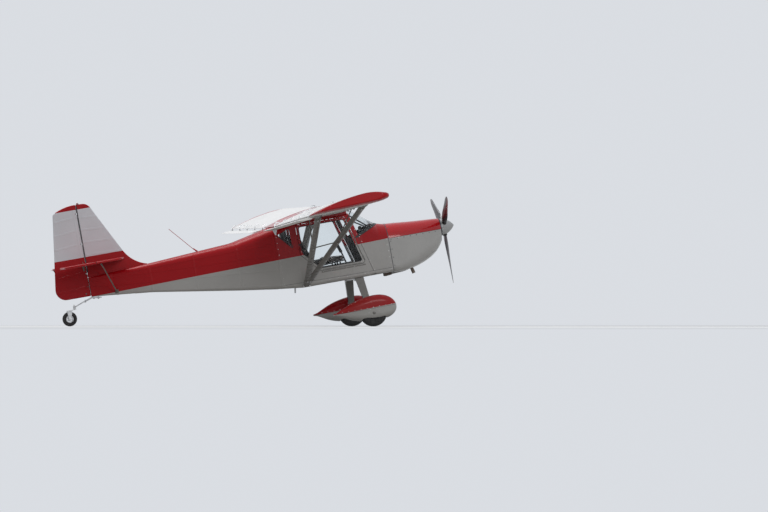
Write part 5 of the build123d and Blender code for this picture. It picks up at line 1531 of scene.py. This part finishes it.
def seats():
    cushion_up, cushion_forward = Vector((-0.049, 0, 0.999)), Vector((0.999, 0, 0.049))
    sideways = Vector(ACROSS)
    lines = [(Vector((-0.39, y, 1.06)), cushion_forward) for y in CUSHION_CHANNEL_YS]
    lines += [(Vector((-0.555, 0, 1.05)), sideways), (Vector((-0.222, 0, 1.065)), sideways)]
    base_trees, base_pad = pads_for_both_seats("seat_cushion", CUSHION_CORNERS, cushion_up, lines)
    lines = [(Vector((-0.70, y, 1.28)), ALONG_BACK) for y in BACK_CHANNEL_YS]
    lines += [(BACK_LOW + ALONG_BACK * height, sideways) for height in (0.055, 0.345)]
    back_trees = pads_for_both_seats("seat_back", BACK_CORNERS, BACK_FACE, lines)[0]
    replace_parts(base_pad, "seats")
    piping, frames, belts, buckles = meshes(4)
    for seat_y, base_tree, back_tree in zip((-SEAT_Y, SEAT_Y), base_trees, back_trees):
        piping_and_stitches(piping, seat_y, base_tree, back_tree)
        seat_frame(frames, seat_y)
        seat_belts(belts, buckles, seat_y, base_tree, back_tree)
    to_object("seat_piping", piping, seat_panel)
    to_object("seat_frames", frames, tube_paint)
    to_object("seat_belts", belts, webbing)
    to_object("belt_buckles", buckles, steel)


seats()

# Cockpit: dials, radio, switches and knobs, glare shield roll, compass, grip, boot, pedals, levers and mats
# y, z and radius of each dial, and its needle's angle in degrees
DIALS = (
    (0.335, 1.318, 0.040, -60), (0.235, 1.318, 0.040, 15), (0.135, 1.318, 0.040, 70),
    (0.335, 1.222, 0.040, 120), (0.235, 1.222, 0.040, -25), (0.135, 1.222, 0.040, 40),
    (-0.135, 1.325, 0.028, -100),
    (-0.205, 1.325, 0.028, -40), (-0.275, 1.325, 0.028, 10), (-0.135, 1.255, 0.028, 55),
    (-0.205, 1.255, 0.028, -75), (-0.275, 1.255, 0.028, 90), (-0.365, 1.300, 0.040, 150),
)
NEEDLE = ((0.82, 0.0004), (0.0, 0.0016), (-0.22, 0.0010), (-0.22, -0.0010), (0.0, -0.0016), (0.82, -0.0004))
DIAL_HUB = ((0.0020, 0.0042), (0.0042, 0.0040), (0.0046, 0.0))
RADIO_KNOB = ((0.0, 0.0085), (0.010, 0.0080), (0.012, 0.0060), (0.012, 0.0))
COMPASS_CASE = ((0.0, 0.024), (0.006, 0.026), (0.020, 0.027), (0.040, 0.025), (0.050, 0.017), (0.053, 0.0))
LEVER_KNOB = ((-0.012, 0.0), (-0.012, 0.010), (0.0, 0.013), (0.012, 0.010), (0.012, 0.0))
TRIM_WHEEL = ((-0.010, 0.0), (-0.010, 0.050), (-0.006, 0.054), (0.006, 0.054), (0.010, 0.050), (0.010, 0.0))


def dial(bezels, faces, marks, y, z, radius, angle):
    """One round instrument on the panel's rear face, with ticks and a needle."""
    face, aft = Vector((0.190, y, z)), Vector(AFT)
    rim = (
        (-0.001, radius + 0.006), (0.0035, radius + 0.006), (0.0050, radius + 0.003), (0.0050, radius),
        (0.0020, radius - 0.001),
    )
    turned_piece(bezels, rim, face, aft, 36)
    turned_piece(faces, ((0.0016, 0.0), (0.0016, radius), (0.0010, radius)), face, aft, 36)

    def mark(degrees, lift, shape, thickness):
        a = math.radians(degrees)
        out, side = Vector((0, math.sin(a), math.cos(a))), Vector((0, math.cos(a), -math.sin(a)))
        plate(marks, [face + aft * lift + out * radius * r + side * s for r, s in shape], (thickness, 0, 0))

    for k in range(11):
        foot = 0.94 - (0.16 if k % 5 else 0.24)
        tick = ((0.94, -0.0007), (0.94, 0.0007), (foot, 0.0007), (foot, -0.0007))
        mark(-130 + 26 * k, 0.0021, tick, 0.0004)
    mark(angle, 0.0030, NEEDLE, 0.0006)
    turned_piece(bezels, DIAL_HUB, face, aft, 16)
    for a in around(4, math.radians(45)):
        head = face + Vector((-0.0005, math.sin(a) * (radius + 0.005), math.cos(a) * (radius + 0.005)))
        fastener(bezels, head, aft, 0.0026, 0.0046)


def instruments(bezels, faces, marks, knobs, trim):
    """The panel's dials, radios, switches and knobs, the roll of the glare shield and the compass."""
    for y, z, radius, angle in DIALS:
        dial(bezels, faces, marks, y, z, radius, angle)
    for low_z, high_z in ((1.305, 1.350), (1.258, 1.300), (1.218, 1.252)):
        soft_box(bezels, (0.183, -0.078, low_z), (0.1905, 0.078, high_z), 0.002)
        foot_z, top_z = low_z + 0.012, high_z - 0.010
        display = ((-0.045, foot_z), (0.045, foot_z), (0.045, top_z), (-0.045, top_z))
        plate(faces, [(0.1826, y, z) for y, z in display], (0.0006, 0, 0))
        for y in (-0.063, 0.063):
            turned_piece(knobs, RADIO_KNOB, (0.183, y, (low_z + high_z) / 2), AFT, 18)
    # rocker switches and push-pull knobs
    for y in spread(0.060, 0.330, 7):
        soft_box(knobs, (0.180, y - 0.008, 1.176), (0.1905, y + 0.008, 1.196), 0.003)
    for y, radius in ((-0.120, 0.014), (-0.175, 0.014), (-0.230, 0.011), (-0.285, 0.011)):
        tube(trim, [(0.1905, y, 1.192), (0.150, y, 1.192)], 0.0035, 10)
        knob = ((0.0, 0.006), (0.004, radius), (0.016, radius), (0.020, radius * 0.7), (0.021, 0.0))
        turned_piece(knobs, knob, (0.152, y, 1.192), AFT, 24)
        turned_piece(trim, ((-0.001, 0.010), (0.003, 0.010), (0.005, 0.006)), (0.190, y, 1.192), AFT, 16)
    tube(knobs, [(0.1555, y, 1.3845) for y in spread(-0.47, 0.47, 24)], 0.0075, 12)
    turned_piece(knobs, COMPASS_CASE, (0.182, 0, 1.392), UP, 28)
    turned_piece(marks, ((0.0268, 0.018), (0.0275, 0.018), (0.0275, 0.0)), (0.182, 0, 1.416), AFT, 24)


def hand_and_foot_controls(knobs, trim):
    """The stick's boot and grip, pedal pads with ribs, throttle levers, trim wheel and trim strips."""
    foot, knee = Vector((-0.150, 0, 0.841)), Vector((-0.105, 0, 0.960))
    boot = [(-0.004, 0.048), (0.004, 0.048)]
    for k in range(6):
        radius = 0.040 - 0.0052 * k
        boot += [(0.008 + 0.012 * k, radius), (0.014 + 0.012 * k, radius - 0.006)]
    turned_piece(knobs, boot, foot, knee - foot, 28)
    hand, top = Vector((-0.150, 0, 1.115)), Vector((-0.190, 0, 1.230))
    grip = [(0.0, 0.0195), (0.004, 0.0230)]
    for k in range(5):
        grip += [(0.014 + 0.020 * k, 0.0212), (0.024 + 0.020 * k, 0.0232)]
    grip += [(0.118, 0.0222), (0.126, 0.0150), (0.128, 0.0)]
    turned_piece(knobs, grip, hand, top - hand, 28)
    for x, ys in ((0.330, (-0.330, 0.130)), (0.360, (-0.130, 0.330))):
        for y in ys:
            soft_box(knobs, (x - 0.0300, y - 0.052, 0.888), (x - 0.0275, y + 0.052, 0.962), 0.001, 1)
            for z in spread(0.896, 0.954, 6):
                tube(knobs, [(x - 0.0305, y - 0.046, z), (x - 0.0305, y + 0.046, z)], 0.0026, 8)
    for y, lean in ((-0.018, 0.018), (0.016, -0.020)):
        lever = ((-0.020, 0.838), (0.012, 0.838), (0.012 + lean, 0.905), (0.002 + lean, 0.905))
        plate(trim, [(x, y, z) for x, z in lever], (0, 0.003, 0))
        turned_piece(knobs, LEVER_KNOB, (0.007 + lean, y, 0.912), ACROSS, 20)
    turned_piece(knobs, TRIM_WHEEL, (-0.330, 0.0, 0.822), ACROSS, 40)
    for y in (-0.037, 0.037):
        tube(trim, [(-0.698, y, 0.839), (-0.36, y, 0.8405), (0.146, y, 0.8405)], 0.0035, 8)


def rear_liner(bm):
    """The moulded panel in front of the rear bulkhead, with upright swages."""
    columns, levels = 72, 9
    half_width, foot_z = 0.455, 0.775
    layers = []
    for x in (-1.095, -1.098):
        rows = []
        for i, y in enumerate(spread(-half_width, half_width, columns + 1)):
            swage = 0.004 if i % 12 in (5, 6, 7) else 0.0
            top_z = 1.56 - 0.10 * (abs(y) / half_width) ** 3
            rows.append([
                bm.verts.new((x + (swage if 0 < k < levels - 1 else 0.0), y, z))
                for k, z in enumerate(spread(foot_z, top_z, levels))
            ])
        skin(bm, rows)
        layers.append(rows)
    front, rear = layers
    for k in (0, -1):
        skin(bm, (front[k], rear[k]))
        skin(bm, ([row[k] for row in front], [row[k] for row in rear]))


def cockpit():
    bezels, faces, marks, knobs, trim, mats, liner = meshes(7)
    instruments(bezels, faces, marks, knobs, trim)
    hand_and_foot_controls(knobs, trim)
    to_object("dial_bezels", bezels, black_plastic)
    to_object("dial_faces", faces, dial_face)
    to_object("dial_marks", marks, dial_mark)
    to_object("cockpit_knobs", knobs, black_plastic)
    to_object("cockpit_trim", trim, alloy)
    # ribbed rubber mats and rigid map pockets
    for side in SIDES:
        soft_box(mats, (-0.780, side * 0.042, 0.7284), (0.240, side * 0.500, 0.7325), 0.0015)
        for y in spread(0.060, 0.482, 25):
            tube(mats, [(-0.765, side * y, 0.7325), (0.225, side * y, 0.7325)], 0.0025, 6)
        soft_box(liner, (-0.50, side * 0.505, 0.76), (-0.06, side * 0.523, 0.87), 0.008, 3)
        tube(liner, [(-0.50, side * 0.506, 0.872), (-0.06, side * 0.506, 0.872)], 0.004, 8)
    rear_liner(liner)
    to_object("cabin_mats", mats, tyre_rubber, sharp=50)
    to_object("cabin_liner", liner, grey_plastic, sharp=50)


cockpit()

# Strut cuffs, clamps and bolts, the antenna's foot, the tail spring's leaf and the tailwheel's arm
STRUT_FOOT = (-0.809, 0.578, 0.742)
STRUT_TOP_Y, STRUT_TOP_Z = 2.600, 1.7356
# x of the top end, chord and thickness of the front strut and the rear strut
STRUTS = ((-0.110, 0.104, 0.040), (-0.760, 0.092, 0.036))
JURY_SHARE = 0.55
WING_WASHER = ((-0.001, 0.062), (0.002, 0.062), (0.003, 0.058), (0.003, 0.0))
JURY_BOOT = ((-0.001, 0.024), (0.003, 0.024), (0.004, 0.020), (0.014, 0.0105), (0.016, 0.0085))


def strut_section(axis, chord, thickness, grow):
    """The offsets of a strut's lens-shaped outline from its axis, grown outwards."""
    fore = (Vector(FORWARD) - axis * axis.x).normalized()
    across = axis.cross(fore)
    offsets = []
    for a in around(28):
        c = math.cos(a)
        wide = (chord / 2 + grow) * c
        thick = (thickness / 2 + grow) * (1 - c * c) * (1 if math.sin(a) >= 0 else -1) + grow * math.sin(a)
        offsets.append(fore * wide + across * thick)
    return offsets


def section_ring(bm, centre, axis, chord, thickness, grow):
    return [bm.verts.new(centre + offset) for offset in strut_section(axis, chord, thickness, grow)]


def lens_collar(bm, centre, axis, chord, thickness, length):
    """A short sleeve of strut section round a strut, thicker in its middle."""
    skin(bm, [
        section_ring(bm, centre + axis * length * share, axis, chord, thickness, grow)
        for share, grow in ((-0.5, 0.0008), (-0.42, 0.0030), (0.42, 0.0030), (0.5, 0.0008))
    ], closed=True)


def wing_cuff(bm, tree, top, axis, chord, thickness):
    """A fairing that carries a strut's section from its top end up to the wing's skin."""
    foot = top - axis * 0.036
    rings = [
        section_ring(bm, foot, axis, chord, thickness, 0.0008),
        section_ring(bm, foot + axis * 0.006, axis, chord, thickness, 0.0032),
        [],
    ]
    for offset in strut_section(axis, chord + 0.024, thickness + 0.020, 0.004):
        hit = drop(tree, foot + offset + axis * 0.05, axis, 0.08)[0]
        rings[-1].append(bm.verts.new(foot + offset + axis * 0.04 if hit is None else hit + axis * 0.001))
    skin(bm, rings, closed=True)


def strut_details():
    """Sleeves, cuffs and bolts of the lift struts, and washers under the wing."""
    sleeves, bolts = meshes(2)
    wing_tree = surface_of("wing_right", "wing_left")
    foot_x, foot_y, foot_z = STRUT_FOOT
    jury_y = foot_y + (STRUT_TOP_Y - foot_y) * JURY_SHARE
    for side in SIDES:
        foot = Vector((foot_x, side * foot_y, foot_z))
        for x, chord, thickness in STRUTS:
            top = Vector((x, side * STRUT_TOP_Y, STRUT_TOP_Z + x * math.tan(INCIDENCE)))
            axis = (top - foot).normalized()
            jury = foot + (top - foot) * JURY_SHARE
            lens_collar(sleeves, foot + axis * 0.155, axis, chord, thickness, 0.080)
            lens_collar(sleeves, top - axis * 0.085, axis, chord, thickness, 0.070)
            lens_collar(sleeves, jury, axis, chord, thickness, 0.034)
            wing_cuff(sleeves, wing_tree, top, axis, chord, thickness)
            fore = (Vector(FORWARD) - axis * axis.x).normalized()
            down = axis.cross(fore) * (1 if axis.cross(fore).z < 0 else -1)
            face = down * (thickness / 2 + 0.003)
            for place in (foot + axis * 0.140, foot + axis * 0.170, top - axis * 0.070, top - axis * 0.102):
                bolt(bolts, place + face, down, 0.007, 0.005)
            bolt(bolts, jury + face, down, 0.006, 0.005)
            turned_on(sleeves, wing_tree, (x, side * 2.612, 1.74), UP, 0.3, WING_WASHER, 36)
            turned_on(sleeves, wing_tree, (x, side * jury_y, 1.74), UP, 0.3, JURY_BOOT, 24)
        for dx in (-0.045, 0.045):
            for dz in (-0.012, 0.010):
                bolt(bolts, (foot_x + dx, side * 0.579, 0.736 + dz), (0, side, 0), 0.0075, 0.006)
    to_object("strut_sleeves", sleeves, strut_paint)
    to_object("strut_bolts", bolts, zinc)


strut_details()

ANTENNA_X = -2.218
ANTENNA_FLANGE = ((-0.003, 0.034), (0.003, 0.034), (0.004, 0.030), (0.004, 0.017))
ANTENNA_BOOT = (
    (-0.004, 0.013), (0.006, 0.012), (0.010, 0.0095), (0.020, 0.0085), (0.024, 0.0065), (0.060, 0.0050),
    (0.064, 0.0042),
)
STEERING_ARM = ((-4.122, 0.012), (-4.078, 0.012), (-4.088, 0.078), (-4.104, 0.078))
ARM_PIN = ((-0.006, 0.0), (-0.006, 0.0045), (0.006, 0.0045), (0.006, 0.0))
GREASE_NIPPLE = ((0.0, 0.011), (0.004, 0.011), (0.009, 0.007), (0.012, 0.0))


def antenna_foot(fixed, boot):
    """A flange with four screws, and a rubber boot round the whip."""
    fuselage = surface_of("rear_fuselage")
    hit = turned_on(fixed, fuselage, (ANTENNA_X, 0, 1.48), DOWN, 0.4, ANTENNA_FLANGE, 32)[0]
    for a in around(4, math.radians(45)):
        place, face = drop(fuselage, hit + Vector((0.026 * math.cos(a), 0.026 * math.sin(a), 0)), DOWN, 0.2)
        fastener(fixed, place + face * 0.003, face, 0.0038, 0.0018)
    turned_piece(boot, ANTENNA_BOOT, (ANTENNA_X, 0, hit.z + 0.010), (-0.346, 0, 0.392), 24)


def spring_leaf(bm):
    """The second leaf, the clamps and the bolts of the tail spring."""
    spring = surface_of("tail_spring")
    tape(bm, spring, [(x, 0, 1.0) for x in spread(-3.715, -3.945, 16)], UP, 0.034, 0.0045)
    for x in (-3.735, -3.800, -3.930):
        hit = drop(spring, (x, 0, 1.0), UP, 0.3)[0]
        if hit is None:
            continue
        z = hit.z
        soft_box(bm, (x - 0.012, -0.027, z - 0.0095), (x + 0.012, 0.027, z - 0.0042), 0.0012)
        for y in (-0.0235, 0.0235):
            tube(bm, [(x, y, z - 0.006), (x, y, z + 0.028)], 0.0035, 8)
            bolt(bm, (x, y, z - 0.0095), DOWN, 0.0062, 0.0055)


def tailwheel_fittings(bm):
    """Steering arm, bolts, axle nuts and grease nipple of the tailwheel."""
    for side in SIDES:
        outward = (0, side, 0)
        plate(bm, [(x, side * y, 0.9772) for x, y in STEERING_ARM], (0, 0, 0.0036))
        turned_piece(bm, ARM_PIN, (-4.096, side * 0.070, 0.977), UP, 12)
        bolt(bm, (TAILWHEEL_X, side * 0.050, TAILWHEEL_Z), outward, 0.0115, 0.008)
        for x in (-4.165, -4.186):
            bolt(bm, (x, side * 0.044, 0.958), outward, 0.0050, 0.0040)
    turned_piece(bm, GREASE_NIPPLE, (-4.100, 0, 1.030), UP, 6)


fixed, boot, fork = meshes(3)
antenna_foot(fixed, boot)
spring_leaf(fixed)
tailwheel_fittings(fork)
to_object("outside_fittings", fixed, steel)
to_object("antenna_boot", boot, antenna_red)
to_object("tailwheel_fittings", fork, zinc, "tailwheel_fork")

# Floor, backdrop, lamps and camera
BACKDROP = (0.700, 0.725, 0.765, 1)
# what the floor gives back to the object from below, as grass and tarmac do
FLOOR_BOUNCE = (0.36, 0.35, 0.32, 1)
SKY = (0.86, 0.88, 0.92, 1)
SKY_STRENGTH = 0.46
RAYS_SEEN = ("Is Camera Ray", "Is Glossy Ray", "Is Transmission Ray")


def floor_material():
    """A matt floor that keeps the shadow near the object and melts into the backdrop far from it."""
    s = Shader("floor_pale")
    path = s.add("ShaderNodeLightPath")
    camera_ray, glossy_ray, transmission_ray = (path.outputs[ray] for ray in RAYS_SEEN)
    seen = s.math("MAXIMUM", s.math("MAXIMUM", camera_ray, glossy_ray), transmission_ray)
    pale = s.shade((0.80, 0.80, 0.79, 1), s.noise(1.5, 4.0), 0.99, 1.01)
    s.set(Base_Color=s.mix(seen, FLOOR_BOUNCE, pale), Roughness=0.95, Specular_IOR_Level=0.0)
    distance = s.add("ShaderNodeVectorMath", operation="LENGTH")
    s.feed(distance.inputs[0], s.coords.outputs["Object"])
    far = s.ramp(distance.outputs["Value"], 5.0, 32.0, 0.45, 1.0)
    glow = s.add("ShaderNodeEmission")
    glow.inputs[0].default_value = BACKDROP
    blend = s.add("ShaderNodeMixShader")
    s.feed(blend.inputs[0], s.math("MULTIPLY", far, seen))
    s.feed(blend.inputs[1], s.bsdf.outputs[0])
    s.feed(blend.inputs[2], glow.outputs[0])
    s.feed(s.tree.nodes["Material Output"].inputs[0], blend.outputs[0])
    return s.material


bm = bmesh.new()
bmesh.ops.create_grid(bm, x_segments=2, y_segments=2, size=400)
floor_mesh = bpy.data.meshes.new("floor")
bm.to_mesh(floor_mesh)
bm.free()
floor_mesh.materials.append(floor_material())
floor = bpy.data.objects.new("floor", floor_mesh)
scene.collection.objects.link(floor)


def studio_world():
    """Soft light from all round, with the backdrop's colour where it is seen."""
    world = bpy.data.worlds.new("studio")
    world.use_nodes = True
    tree = world.node_tree
    light = tree.nodes["Background"]
    light.inputs[0].default_value = SKY
    light.inputs[1].default_value = SKY_STRENGTH
    seen = tree.nodes.new("ShaderNodeBackground")
    seen.inputs[0].default_value = BACKDROP
    path = tree.nodes.new("ShaderNodeLightPath")
    looked_at = path.outputs[RAYS_SEEN[0]]
    for ray in RAYS_SEEN[1:]:
        either = tree.nodes.new("ShaderNodeMath")
        either.operation = "MAXIMUM"
        tree.links.new(looked_at, either.inputs[0])
        tree.links.new(path.outputs[ray], either.inputs[1])
        looked_at = either.outputs[0]
    blend = tree.nodes.new("ShaderNodeMixShader")
    for socket, output in zip(blend.inputs, (looked_at, light.outputs[0], seen.outputs[0])):
        tree.links.new(output, socket)
    tree.links.new(blend.outputs[0], tree.nodes["World Output"].inputs[0])
    return world


def lamp(name, location, target, size, power):
    data = bpy.data.lights.new(name, "AREA")
    data.shape = "RECTANGLE"
    data.size, data.size_y = size
    data.energy = power
    obj = bpy.data.objects.new(name, data)
    obj.location = location
    obj.rotation_euler = (Vector(target) - Vector(location)).to_track_quat("-Z", "Y").to_euler()
    scene.collection.objects.link(obj)


scene.world = studio_world()
lamp("key", (-6.0, 3.0, 14.0), (0, 0, 1.0), (9, 9), 1560)
lamp("side", (4.0, -16.0, 6.0), (-1.0, 0, 1.0), (8, 5), 600)

# Camera: the photograph's direction and lens, moved down to the floor
PICTURE_WIDTH, PICTURE_HEIGHT = 768, 512
FOCAL_PIXELS = 4520
WHEELS_AT = (362.3, 322.2)
CAMERA_AZIMUTH = math.radians(-8.5)
CAMERA_DISTANCE = 65.5
CAMERA_HEIGHT = 0.06
back = Vector((math.sin(CAMERA_AZIMUTH), -math.cos(CAMERA_AZIMUTH), 0))
camera_data = bpy.data.cameras.new("camera")
camera_data.sensor_width = 36
camera_data.lens = FOCAL_PIXELS * camera_data.sensor_width / PICTURE_WIDTH
camera_data.clip_end = 1000
camera_data.shift_x = (PICTURE_WIDTH / 2 - WHEELS_AT[0]) / PICTURE_WIDTH
camera_data.shift_y = (WHEELS_AT[1] - PICTURE_HEIGHT / 2) / PICTURE_WIDTH
camera = bpy.data.objects.new("camera", camera_data)
scene.collection.objects.link(camera)
camera.location = Vector((AXLE[0], 0, CAMERA_HEIGHT)) + back * CAMERA_DISTANCE
camera.rotation_mode = "QUATERNION"
camera.rotation_quaternion = (-back).to_track_quat("-Z", "Y")
scene.camera = camera
scene.view_settings.view_transform = "Standard"
